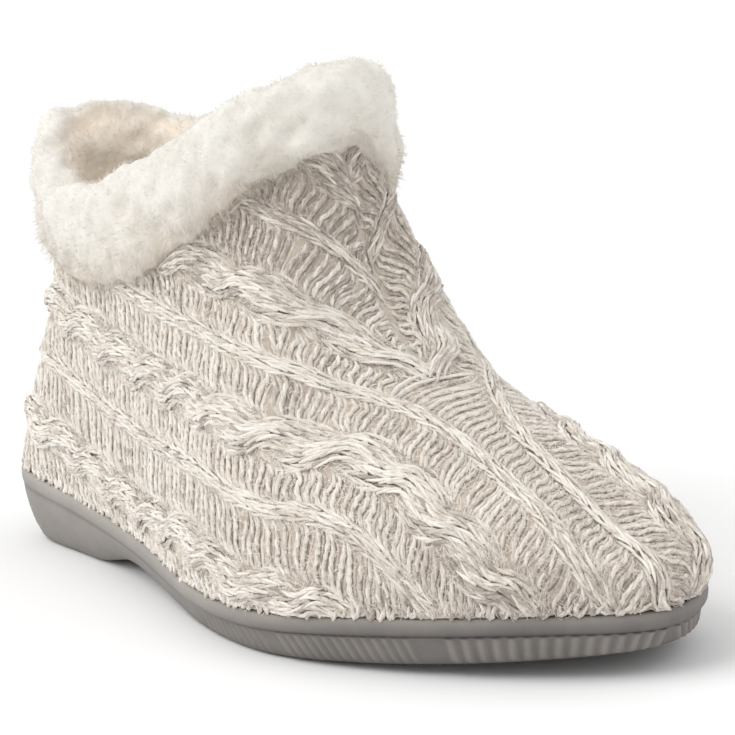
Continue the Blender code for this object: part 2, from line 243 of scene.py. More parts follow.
def by_corners(faces: Iterable[Sequence[int]]) -> list[Array]:
    """Faces gathered by their number of corners, each corner once.

    Args:
        faces: Corner numbers of each face.

    Returns:
        One array of triangles and one of quads, where there are any.
    """
    single = [tuple(dict.fromkeys(face)) for face in faces]
    gathered = [np.array([f for f in single if len(f) == size]) for size in (3, 4)]
    return [f for f in gathered if len(f)]


@dataclass
class Piece:
    """A mesh of the slipper that is being put together."""

    name: str
    points: Array
    faces: list[Array]
    tone: Array | None = None

    def place(
        self, origin: Array, material: bpy.types.Material, slot: str, replaced: str = ""
    ) -> bpy.types.Object:
        """Put the mesh in the scene, dressed and riding on the slipper.

        Args:
            origin: Point of the shoe that is the frame's origin.
            material: Finish of the piece.
            slot: Not used.
            replaced: Solid that the piece stands for, if any.

        Returns:
            The new object.
        """
        mesh = bpy.data.meshes.new(self.name)
        mesh.vertices.add(len(self.points))
        mesh.vertices.foreach_set("co", ((self.points - origin) * MM).astype(np.float32).ravel())
        corners = np.concatenate([np.asarray(f).ravel() for f in self.faces])
        sizes = np.concatenate([np.full(len(f), np.asarray(f).shape[1]) for f in self.faces])
        starts = np.concatenate([[0], np.cumsum(sizes)[:-1]])
        mesh.loops.add(len(corners))
        mesh.loops.foreach_set("vertex_index", corners.astype(np.int32))
        mesh.polygons.add(len(sizes))
        mesh.polygons.foreach_set("loop_start", starts.astype(np.int32))
        mesh.update(calc_edges=True)
        mesh.shade_smooth()
        if self.tone is not None:
            layer = mesh.attributes.new(TONE, "FLOAT", "POINT")
            layer.data.foreach_set("value", self.tone.astype(np.float32))
        mesh.materials.append(material)
        obj = bpy.data.objects.new(self.name, mesh)
        bpy.context.scene.collection.objects.link(obj)
        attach(obj, "root")
        if replaced:
            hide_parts(replaced)
        log.info("%s: %d points, %d faces", self.name, len(self.points), len(sizes))
        return obj


def ribbons(name: str, paths: Array, normals: Array, width: float, tone: Array) -> Piece:
    """Fine flat hairs along many paths at once, narrower towards their tips.

    Args:
        name: Name of the piece.
        paths: Points of each hair.
        normals: Direction off the surface at each root.
        width: Half the width at the root.
        tone: Shade at each point.

    Returns:
        One joined mesh.
    """
    count, steps, _ = paths.shape
    half = width * (1 - HAIR_TAPER * np.linspace(0, 1, steps))
    beside = unit(np.cross(np.gradient(paths, axis=1), normals[:, None])) * half[:, None]
    points = np.stack([paths - beside, paths + beside], axis=2)
    step = np.arange(steps - 1) * 2
    quads = np.stack([step, step + 1, step + 3, step + 2], axis=1)
    faces = (np.arange(count)[:, None, None] * steps * 2 + quads[None]).reshape(-1, 4)
    shade = np.repeat(tone[:, :, None], 2, axis=2)
    return Piece(name, points.reshape(-1, 3), [faces], shade.reshape(-1))


def swept(name: str, paths: Array, normals: Array, radius: Array, tone: Array, sides: int = 4) -> Piece:
    """Round strands along many paths at once, closed at their ends.

    Args:
        name: Name of the piece.
        paths: Points of each strand.
        normals: Direction off the surface at each point.
        radius: Radius at each point.
        tone: Shade at each point.
        sides: Sides of a strand.

    Returns:
        One joined mesh.
    """
    count, steps, _ = paths.shape
    along = unit(np.gradient(paths, axis=1))
    beside = unit(np.cross(along, normals))
    lift = np.cross(beside, along)
    angle = np.linspace(0, 2 * np.pi, sides, endpoint=False)
    ring = beside[:, :, None] * np.cos(angle)[:, None] + lift[:, :, None] * np.sin(angle)[:, None]
    points = paths[:, :, None] + ring * radius[:, :, None, None]
    quads = ring_faces(steps, sides, False)
    starts = (np.arange(count) * steps * sides)[:, None, None]
    walls = (starts + quads[None]).reshape(-1, 4)[:, ::-1]
    first_cap = starts[:, 0] + np.arange(sides)[None]
    last_cap = first_cap[:, ::-1] + (steps - 1) * sides
    shade = np.repeat(tone[:, :, None], sides, axis=2)
    return Piece(name, points.reshape(-1, 3), [walls, first_cap, last_cap], shade.reshape(-1))


# Finishes


def srgb(red: int, green: int, blue: int) -> Colour:
    """Linear colour of an eight-bit display colour.

    Args:
        red: Red, 0 to 255.
        green: Green, 0 to 255.
        blue: Blue, 0 to 255.

    Returns:
        Linear red, green and blue, 0 to 1.
    """
    share = np.array([red, green, blue]) / 255
    linear = np.where(share <= 0.04045, share / 12.92, ((share + 0.055) / 1.055) ** 2.4)
    return tuple(float(c) for c in linear)


@dataclass(frozen=True)
class Speckle:
    """Noise of a finish: size of a speck in millimetres, number of finer layers and their strength."""

    size: float
    detail: float = 3.0
    roughness: float = 0.6


class NodeSheet:
    """Shader nodes of one material, round its Principled shader."""

    def __init__(self, name: str) -> None:
        """Start a material.

        Args:
            name: Name of the material.
        """
        self.material = bpy.data.materials.new(name)
        self.material.use_nodes = True
        self.nodes = self.material.node_tree.nodes
        self.shader = self.nodes["Principled BSDF"]
        self.place = self.nodes.new("ShaderNodeTexCoord").outputs["Object"]

    def join(self, source: Socket, target: Socket) -> None:
        """Link one socket to another."""
        self.material.node_tree.links.new(source, target)

    def tone(self) -> Socket:
        """Shade kept at the mesh's points.

        Returns:
            The shade's value socket.
        """
        node = self.nodes.new("ShaderNodeAttribute")
        node.attribute_name = TONE
        return node.outputs["Fac"]

    def noise(self, speckle: Speckle) -> Socket:
        """Noise over the object.

        Args:
            speckle: Size and make-up of the noise.

        Returns:
            The noise's value socket.
        """
        node = self.nodes.new("ShaderNodeTexNoise")
        node.inputs["Scale"].default_value = 1 / (speckle.size * MM)
        node.inputs["Detail"].default_value = speckle.detail
        node.inputs["Roughness"].default_value = speckle.roughness
        self.join(self.place, node.inputs["Vector"])
        return node.outputs["Fac"]

    def added(self, total: Socket | None, value: Socket, share: float) -> Socket:
        """Sum to which a share of one more value is added.

        Args:
            total: Sum so far, None at the start.
            value: Value that is added.
            share: Share of it.

        Returns:
            The new sum's socket.
        """
        node = self.nodes.new("ShaderNodeMath")
        node.operation = "MULTIPLY_ADD"
        node.inputs[1].default_value = share
        node.inputs[2].default_value = 0.0
        self.join(value, node.inputs[0])
        if total is not None:
            self.join(total, node.inputs[2])
        return node.outputs[0]

    def colour(self, value: Socket, stops: Row, colours: Sequence[Colour]) -> None:
        """Colour the shader along a value.

        Args:
            value: Socket that is read.
            stops: Place of each colour along the value.
            colours: Colours, from the lowest value up.
        """
        node = self.nodes.new("ShaderNodeValToRGB")
        elements = node.color_ramp.elements
        while len(elements) < len(stops):
            elements.new(0.5)
        for element, place, colour in zip(elements, stops, colours):
            element.position = place
            element.color = (*colour, 1.0)
        self.join(value, node.inputs["Fac"])
        self.join(node.outputs["Color"], self.shader.inputs["Base Color"])

    def bump(self, speckle: Speckle, depth: float, strength: float) -> None:
        """Fine relief of the surface.

        Args:
            speckle: Noise that gives the height.
            depth: Depth in millimetres.
            strength: Share of the relief that shows.
        """
        node = self.nodes.new("ShaderNodeBump")
        node.inputs["Distance"].default_value = depth * MM
        node.inputs["Strength"].default_value = strength
        self.join(self.noise(speckle), node.inputs["Height"])
        self.join(node.outputs["Normal"], self.shader.inputs["Normal"])

    def set(self, **values: float | Colour) -> None:
        """Set the shader's own numbers, by socket name with _ for a space."""
        for name, value in values.items():
            self.shader.inputs[name.replace("_", " ")].default_value = value


@dataclass(frozen=True)
class Finish:
    """Matt surface, coloured along its tone and specks, with a fine grain."""

    name: str
    colours: Sequence[Colour]
    stops: Row = (0.15, 0.5, 0.85)
    tone_share: float = 0.8
    specks: Sequence[tuple[Speckle, float]] = ()
    grain: Speckle = Speckle(0.45)
    grain_depth: float = 0.1
    grain_strength: float = 0.5
    roughness: float = 0.9
    specular: float = 0.2

    def sheet(self) -> NodeSheet:
        """Start the finish's material.

        Returns:
            Its nodes, with colour and grain.
        """
        sheet = NodeSheet(self.name)
        total = sheet.added(None, sheet.tone(), self.tone_share)
        for speckle, share in self.specks:
            total = sheet.added(total, sheet.noise(speckle), share)
        sheet.colour(total, self.stops, self.colours)
        sheet.bump(self.grain, self.grain_depth, self.grain_strength)
        sheet.set(Roughness=self.roughness, Specular_IOR_Level=self.specular)
        return sheet


@dataclass(frozen=True)
class YarnFinish(Finish):
    """Soft marled wool, cream with taupe plies and a little fuzz."""

    stops: Row = (0.42, 0.6, 0.79, 1.0)
    tone_share: float = 0.5
    specks: Sequence[tuple[Speckle, float]] = ((Speckle(2.2), 0.7), (Speckle(0.45, 2.0, 0.7), 0.3))
    grain: Speckle = Speckle(0.35, 2.0)
    grain_depth: float = 0.3
    grain_strength: float = 0.9
    roughness: float = 0.88
    sheen: float = 0.5
    sheen_roughness: float = 0.45
    scatter: float = 0.15
    scatter_radius: Colour = (1.0, 0.85, 0.7)

    def material(self) -> bpy.types.Material:
        """Material of the yarn, coloured by the tone of each strand, which holds its marl and painted
        shade.

        Returns:
            The material.
        """
        sheet = self.sheet()
        sheet.set(Sheen_Weight=self.sheen, Sheen_Roughness=self.sheen_roughness)
        sheet.set(Subsurface_Weight=self.scatter, Subsurface_Scale=MM)
        sheet.set(Subsurface_Radius=self.scatter_radius)
        return sheet.material


@dataclass(frozen=True)
class FleeceFinish(Finish):
    """Short curly pile, pale at its tips and warmer in its hollows; on the collar its tone carries painted
    light and shade.
    """

    specks: Sequence[tuple[Speckle, float]] = ((Speckle(2.6), 0.24),)
    grain: Speckle = Speckle(0.7, 3.0, 0.65)
    grain_depth: float = 0.5
    grain_strength: float = 0.45
    roughness: float = 0.95
    specular: float = 0.15
    sheen: float = 0.35
    sheen_roughness: float = 0.5

    def material(self) -> bpy.types.Material:
        """Material of the pile, coloured by its tone from root to tip, which on the collar holds painted
        light and shade.

        Returns:
            The material.
        """
        sheet = self.sheet()
        sheet.set(Sheen_Weight=self.sheen, Sheen_Roughness=self.sheen_roughness)
        return sheet.material


@dataclass(frozen=True)
class RubberFinish(Finish):
    """Moulded rubber, matt, a little cloudy in colour and gloss."""

    stops: Row = (0.15, 0.55, 0.95)
    specks: Sequence[tuple[Speckle, float]] = ((Speckle(14.0, 4.0), 0.35),)
    grain_depth: float = 0.08
    specular: float = 0.35
    gloss: Speckle = Speckle(6.0)
    gloss_range: tuple[float, float] = (0.5, 0.68)

    def material(self) -> bpy.types.Material:
        """Material of the sole, coloured by the tone of its lip, band and hollows, which holds painted
        light and shade.

        Returns:
            The material.
        """
        sheet = self.sheet()
        node = sheet.nodes.new("ShaderNodeMapRange")
        node.inputs["To Min"].default_value, node.inputs["To Max"].default_value = self.gloss_range
        sheet.join(sheet.noise(self.gloss), node.inputs["Value"])
        sheet.join(node.outputs[0], sheet.shader.inputs["Roughness"])
        return sheet.material


@dataclass(frozen=True)
class FloorFinish:
    """Plain pale studio floor, with the faintest cloud in it."""

    name: str = "studio_floor"
    colours: Sequence[Colour] = ((0.9, 0.9, 0.9), (0.92, 0.92, 0.92))
    stops: Row = (0.3, 0.7)
    cloud: Speckle = Speckle(400.0, 2.0, 0.5)
    roughness: float = 0.9
    specular: float = 0.1

    def material(self) -> bpy.types.Material:
        """Material of the floor.

        Returns:
            The material.
        """
        sheet = NodeSheet(self.name)
        sheet.colour(sheet.noise(self.cloud), self.stops, self.colours)
        sheet.set(Roughness=self.roughness, Specular_IOR_Level=self.specular)
        return sheet.material


# The foot's form


@dataclass
class Last:
    """Form of the foot that the sole, footbed, knit and collar share."""

    outline_rows: Sequence[Row] = (
        (9.5, -26.2, 24.5, 23.6),
        (38.0, -32.5, 31.0, 20.7),
        (72.0, -36.5, 32.0, 17.4),
        (104.0, -44.0, 32.0, 15.0),
        (128.0, -51.0, 35.5, 12.8),
        (150.0, -55.0, 40.0, 11.8),
        (172.0, -54.5, 43.0, 12.6),
        (197.0, -46.5, 43.0, 14.4),
        (220.0, -34.5, 40.0, 15.9),
        (241.0, -18.0, 30.0, 16.8),
    )
    heel_tip: Row = (0.0, 0.0, 25.0)
    toe_tip: Row = (254.5, 5.0, 16.6)
    collar_rows: Sequence[Row] = (
        (26.5, -17.5, 17.0, 92.0, 92.0, 32.5, 37.0),
        (47.0, -25.0, 24.5, 83.0, 83.0, 28.5, 43.0),
        (77.0, -29.5, 28.5, 84.0, 83.0, 31.0, 45.0),
        (104.0, -30.0, 28.0, 93.0, 89.0, 31.0, 46.0),
        (127.0, -23.0, 24.0, 109.0, 101.0, 26.0, 39.0),
    )
    collar_back: Row = (19.0, 0.0, 96.0, 35.5)
    throat: Row = (142.0, 1.5, 123.0, 22.0)
    crest_rows: Sequence[Row] = (
        (142.0, 1.5, 123.0),
        (154.0, 1.0, 87.5),
        (172.0, 1.0, 66.0),
        (195.0, 1.5, 54.5),
        (214.0, 2.0, 46.8),
        (228.0, 2.5, 38.6),
    )
    wall_rows: Sequence[Row] = (
        (-2.5, 20.0, 1.0, 22.0),
        (-2.5, 20.0, 1.0, 22.0),
        (-1.0, 20.0, 1.5, 20.0),
        (1.5, 22.0, 2.0, 22.0),
        (1.5, 26.0, 4.0, 24.0),
        (1.5, 36.0, 8.0, 26.0),
        (1.5, 46.0, 17.0, 12.0),
        (2.0, 36.0, 16.0, 3.0),
        (2.5, 27.0, 20.0, 0.0),
        (3.0, 22.0, 21.0, 0.0),
        (4.0, 18.0, 20.0, 0.0),
        (5.0, 16.0, 18.0, 0.0),
    )
    feather_inset: float = 1.5
    wall_thickness: float = 2.6
    toe_station: int = 11
    throat_station: int = 6
    arch: Row = (50.0, 76.0, 128.0)
    arch_height: float = 4.4
    spring_start: float = 160.0
    toe_spring: float = 6.4
    spring_power: float = 1.5
    outline_steps: int = 4400
    origin: Array = field(init=False)

    def __post_init__(self) -> None:
        """Find the point under the middle of the outline, which is the frame's origin."""
        place, _, _ = self.outline(np.linspace(0, self.stations, self.outline_steps))
        middle = (place.min(axis=0) + place.max(axis=0)) / 2
        self.origin = np.array([middle[0], middle[1], 0.0])

    @property
    def stations(self) -> int:
        """Stations once round the foot."""
        return 2 * self.toe_station

    def both_sides(self, heel: Row, rows: Sequence[Row], toe: Row) -> list[Row]:
        """Rows round the foot from rows with an x and pairs of lateral and medial values.

        Args:
            heel: Row at the heel.
            rows: Rows from heel to toe.
            toe: Row at the toe.

        Returns:
            One row for each station.
        """
        lateral = [(x, *pairs[0::2]) for x, *pairs in rows]
        medial = [(x, *pairs[1::2]) for x, *pairs in rows]
        return [heel, *lateral, toe, *medial[::-1]]

    def outline(self, t: Array) -> tuple[Array, Array, Array]:
        """Edge of the sole.

        Args:
            t: Stations round the foot.

        Returns:
            Points in plan, outward directions and heights of the feather line.
        """
        edges = [(x, outer, inner, feather, feather) for x, outer, inner, feather in self.outline_rows]
        rows = self.both_sides(self.heel_tip, edges, self.toe_tip)
        t = np.asarray(t, float)
        place = closed_spline(rows, t)
        along = unit((closed_spline(rows, t + TINY_STEP) - closed_spline(rows, t - TINY_STEP))[:, :2])
        outward = np.stack([along[:, 1], -along[:, 0]], axis=1)
        return place[:, :2], outward, place[:, 2]

    def underside(self, x: Array) -> Array:
        """Height of the sole's underside above the floor.

        Args:
            x: Places along the shoe.

        Returns:
            One height for each place.
        """
        start, top, end = self.arch
        arch = smooth_step(start, top, x) * (1 - smooth_step(top, end, x))
        spring = np.clip((x - self.spring_start) / (self.toe_tip[0] - self.spring_start), 0, None)
        return self.arch_height * arch + self.toe_spring * spring**self.spring_power

    def collar_edge(self, e: Array) -> Array:
        """Top edge of the knit.

        Args:
            e: Stations round the collar, 0 to 12 from heel to heel.

        Returns:
            x, y, z and the height of the fleece above the edge.
        """
        return closed_spline(self.both_sides(self.collar_back, self.collar_rows, self.throat), e)

    def wall(self, t: Array, rows: int) -> Array:
        """Outer face of the knit's wall, from the sole to the collar or crest.

        Args:
            t: Stations round the foot.
            rows: Steps up the wall.

        Returns:
            Points by station and row.
        """
        place, outward, feather = self.outline(t)
        station = np.where(t <= self.toe_station, t, self.stations - t)
        out = np.column_stack([outward, np.zeros(len(t))])
        up = np.array([0.0, 0.0, 1.0])
        foot = np.column_stack([place - outward * self.feather_inset, feather + GAP])
        at_collar = station <= self.throat_station
        collar_station = np.where(t <= self.toe_station, t, t - self.stations + 2 * self.throat_station)
        edge = self.collar_edge(np.where(at_collar, collar_station, self.throat_station))[:, :3]
        past_throat = np.maximum(station - self.throat_station, 0)
        crest = open_spline(self.crest_rows, past_throat)
        onward = open_spline(self.crest_rows, past_throat + TINY_STEP) - crest
        slope = (onward[:, 2] / onward[:, 0])[:, None]
        top = np.where(at_collar[:, None], edge, crest)
        table = np.asarray(self.wall_rows)
        handles = closed_spline(np.concatenate([table, table[-2:0:-1]]), t)
        swell, rise, reach, fall = (column[:, None] for column in handles.T)
        sideways = np.zeros_like(out)
        sideways[:, 1] = np.sign(t - self.toe_station)
        toe = smooth_step(self.toe_station - 2, self.toe_station, station)[:, None]
        over = sideways * (1 - toe) + out * toe
        front = np.clip(station - self.throat_station + 1, 0, 1)[:, None]
        arrive = unit(out * (1 - front) + over * front)
        leave = foot + out * swell + up * rise
        land = top + arrive * reach + up * (slope * front * arrive[:, :1] * reach - fall)
        v = np.linspace(0, 1, rows + 1)[None, :, None]
        weights = ((1 - v) ** 3, 3 * v * (1 - v) ** 2, 3 * v**2 * (1 - v), v**3)
        return sum(p[:, None] * w for p, w in zip((foot, leave, land, top), weights))


@dataclass
class KnitChart:
    """Map of one side of the knit, by section along the foot and distance across the columns.

    Sections turn round the heel on an upright axis, stand square to the shoe along its length and lean
    forward over the toe. The distance across is 0 on the centre line of the forefoot.
    """

    last: Last
    side: Side
    heel_axis: float = 45.0
    heel_radius: float = 32.0
    lean: float = 0.6
    lean_start: float = 200.0
    lean_full: float = 240.0
    lean_height: float = 40.0
    step: float = 1.0
    toe_margin: float = 0.1
    reach: tuple[float, float] = (-75.0, 130.0)
    dart_end: float = 174.0
    guide_across: float = 7.5
    guide_rows: Sequence[Row] = (
        (-6.0, 97.0),
        (39.0, 91.0),
        (64.0, 86.5),
        (82.0, 83.3),
        (100.0, 79.8),
        (123.0, 76.7),
        (143.0, 73.8),
        (155.0, 70.7),
        (163.0, 66.7),
        (171.0, 62.9),
    )
    guide_end: tuple[float, float] = (156.0, 170.0)
    centre_rows: Sequence[Row] = (
        (150.0, 39.0),
        (163.0, 23.0),
        (171.0, 15.0),
        (178.0, 8.7),
        (190.0, 3.2),
        (203.0, 0.3),
        (215.0, 0.0),
    )
    drift_rows: Sequence[Row] = (
        (174.0, 0.0),
        (190.0, 2.0),
        (203.0, 5.5),
        (215.0, 8.0),
        (232.0, 8.8),
        (250.0, 11.0),
        (265.0, 12.5),
    )
    stretch_rows: Sequence[Row] = (
        (-6.0, 0.92),
        (50.0, 0.93),
        (80.0, 0.95),
        (105.0, 0.92),
        (140.0, 0.86),
        (155.0, 0.92),
        (174.0, 1.0),
    )
    grid_rows: int = 60
    columns_per_station: int = 60
    inside: float = 0.001

    def __post_init__(self) -> None:
        """Work out the sections and the map."""
        half, self.s = self.half_sections(self.side)
        self.step = self.s[1] - self.s[0]
        opposite = Side.MEDIAL if self.side is Side.LATERAL else Side.LATERAL
        other, _ = self.half_sections(opposite)
        guide = self.softened(self.guide_rows)
        by_guide = np.empty(len(self.s))
        for m, section in enumerate(half):
            arc = along_length(section[:, :3])
            over_top = max(0.0, guide[m] - section[0, 2])
            by_guide[m] = np.interp(guide[m], section[::-1, 2], arc[::-1]) - over_top - self.guide_across
        ahead = smooth_step(*self.guide_end, self.s)
        self.spread = by_guide * (1 - ahead) + self.softened(self.centre_rows) * ahead
        guide_arc = self.spread - self.side.value * self.softened(self.drift_rows) + self.guide_across
        stretch = self.softened(self.stretch_rows)
        self.across = np.arange(self.reach[0], self.reach[1] + self.step, self.step)
        self.map = np.empty((len(self.s), len(self.across), 6))
        self.top = np.empty(len(self.s))
        self.high = np.empty(len(self.s))
        for m, section in enumerate(half):
            arc = along_length(section[:, :3])
            self.top[m] = self.guide_across - guide_arc[m] / stretch[m]
            self.high[m] = self.guide_across + (arc[-1] - guide_arc[m]) / stretch[m]
            line = section
            if self.s[m] >= self.last.throat[0]:
                beyond = along_length(other[m][:, :3])
                line = np.concatenate([other[m][:0:-1], section])
                arc = np.concatenate([-beyond[:0:-1], arc])
            place = guide_arc[m] + (self.across - self.guide_across) * stretch[m]
            self.map[m] = np.stack([np.interp(place, arc, line[:, c]) for c in range(6)], axis=1)
        self.low = np.where(self.s > self.dart_end, self.reach[0], self.top)

    def softened(self, rows: Sequence[Row], window: int = 25) -> Array:
        """Values of a table along the foot, with its corners rounded.

        Args:
            rows: Section and value of each row.
            window: Width of the rounding in sections.

        Returns:
            One value for each section.
        """
        table = np.asarray(rows)
        pad = window // 2
        wide = np.arange(-pad, len(self.s) + pad) * self.step + self.s[0]
        soft = np.hanning(window + 2)[1:-1]
        return np.convolve(np.interp(wide, table[:, 0], table[:, 1]), soft / soft.sum(), mode="valid")

    def section_of(self, points: Array) -> Array:
        """Section on which each point lies.

        Args:
            points: Points of the wall.

        Returns:
            One section for each point.
        """
        x, y, z = np.moveaxis(points, -1, 0)
        round_heel = self.heel_axis - self.heel_radius * np.arctan2(self.heel_axis - x, np.abs(y))
        leaning = self.lean * smooth_step(self.lean_start, self.lean_full, x) * (self.lean_height - z)
        return np.where(x < self.heel_axis, round_heel, x + leaning)

    def half_sections(self, side: Side) -> tuple[Array, Array]:
        """Sections of one half of the foot, each from its top to the sole.

        Args:
            side: Half of the foot.

        Returns:
            Points and outward directions, by section and row, and the sections' places.
        """
        t = np.linspace(0, self.last.toe_station, self.last.toe_station * self.columns_per_station + 1)
        round_foot = t if side is Side.LATERAL else self.last.stations - t
        if side is Side.MEDIAL:
            round_foot[-1] = self.last.toe_station
        grid = self.last.wall(round_foot, self.grid_rows)
        facing = unit(np.cross(np.gradient(grid, axis=0), np.gradient(grid, axis=1))) * -side.value
        grid = np.concatenate([grid, facing], axis=2)
        section = np.maximum.accumulate(self.section_of(grid[..., :3]), axis=0)
        front = np.maximum.accumulate(section[-1, ::-1])
        start, end = section[0].min(), section[-1, 0] - self.toe_margin
        places = np.linspace(start, end, 1 + round((end - start) / self.step))
        toe = np.stack([np.interp(places, front, grid[-1, ::-1, c]) for c in range(6)], axis=1)
        found = np.empty((len(places), self.grid_rows + 1, 6))
        for j in range(self.grid_rows + 1):
            row = [np.interp(places, section[:, j], grid[:, j, c]) for c in range(6)]
            past_toe = (places > section[-1, j])[:, None]
            found[:, self.grid_rows - j] = np.where(past_toe, toe, np.stack(row, axis=1))
        return found, places

    def sample(self, s: Array, b: Array) -> tuple[Array, Array]:
        """Points and outward directions on the wall.

        Args:
            s: Sections.
            b: Distances across.

        Returns:
            Points and unit directions.
        """
        i = np.clip((s - self.s[0]) / self.step, 0, len(self.s) - 1 - self.inside)
        k = np.clip((b - self.across[0]) / self.step, 0, len(self.across) - 1 - self.inside)
        i0, k0 = i.astype(int), k.astype(int)
        ahead, beside = (i - i0)[..., None], (k - k0)[..., None]
        found = (
            self.map[i0, k0] * (1 - ahead) * (1 - beside)
            + self.map[i0 + 1, k0] * ahead * (1 - beside)
            + self.map[i0, k0 + 1] * (1 - ahead) * beside
            + self.map[i0 + 1, k0 + 1] * ahead * beside
        )
        return found[..., :3], unit(found[..., 3:])

    def limits(self, s: Array) -> tuple[Array, Array]:
        """Distances across between which columns can lie: from the top edge or seam to the sole."""
        return np.interp(s, self.s, self.low), np.interp(s, self.s, self.high)

    def end_of(self, centre: float) -> float:
        """Section at which a column ends: those above the centre line run into the dart."""
        return self.dart_end if centre < 0 else FAR


@dataclass
class ColumnPath:
    """Run of one knit column along the foot, read by length."""

    chart: KnitChart
    across: float
    half: float
    first: float = -FAR
    last: float = FAR
    margin: float = 1.0

    def __post_init__(self) -> None:
        """Find the longest stretch of the column that lies on the knit."""
        chart = self.chart
        reach = self.half - self.margin
        on = (chart.low < self.across + reach) & (self.across - reach < chart.high)
        on &= (chart.s >= self.first) & (chart.s <= self.last)
        edges = np.flatnonzero(np.diff(np.concatenate([[0], on.astype(int), [0]])))
        runs = sorted(zip(edges[::2], edges[1::2]), key=lambda run: run[1] - run[0])
        start, end = runs[-1] if runs else (0, 0)
        self.s = chart.s[start:end]
        self.run = np.zeros(1)
        if len(self.s) > 1:
            points, _ = chart.sample(self.s, np.full(len(self.s), self.across))
            self.run = along_length(points)

    @property
    def length(self) -> float:
        """Length of the column."""
        return float(self.run[-1])

    def section(self, a: Array) -> Array:
        """Sections at lengths along the column, carried on past its ends."""
        inside = np.interp(a, self.run, self.s)
        return inside + np.minimum(a, 0) + np.maximum(a - self.length, 0)

    def spaced(self, count: int, phase: float = 0.0) -> Array:
        """Lengths of evenly spaced stitches, one row for each, shifted by a share of their pitch."""
        return ((np.arange(count) + 0.5 + phase) * self.length / count)[:, None]


@dataclass
class Strands:
    """Strands gathered for one piece of the knit."""

    paths: list[Array] = field(default_factory=list)
    normals: list[Array] = field(default_factory=list)
    radius: list[Array] = field(default_factory=list)
    tone: list[Array] = field(default_factory=list)

    def add(self, path: Array, normal: Array, radius: Array, tone: Array) -> None:
        """Add strands, all with the same number of steps.

        Args:
            path: Points, by strand and step.
            normal: Directions off the surface.
            radius: Radius at each step.
            tone: Shade at each step.
        """
        self.paths.append(path)
        self.normals.append(normal)
        self.radius.append(np.broadcast_to(radius, path.shape[:2]))
        self.tone.append(np.broadcast_to(tone, path.shape[:2]))

    def piece(self, name: str) -> Piece:
        """Joined mesh of the strands."""
        parts = [np.concatenate(p) for p in (self.paths, self.normals, self.radius, self.tone)]
        return swept(name, *parts)


# Sub-assemblies


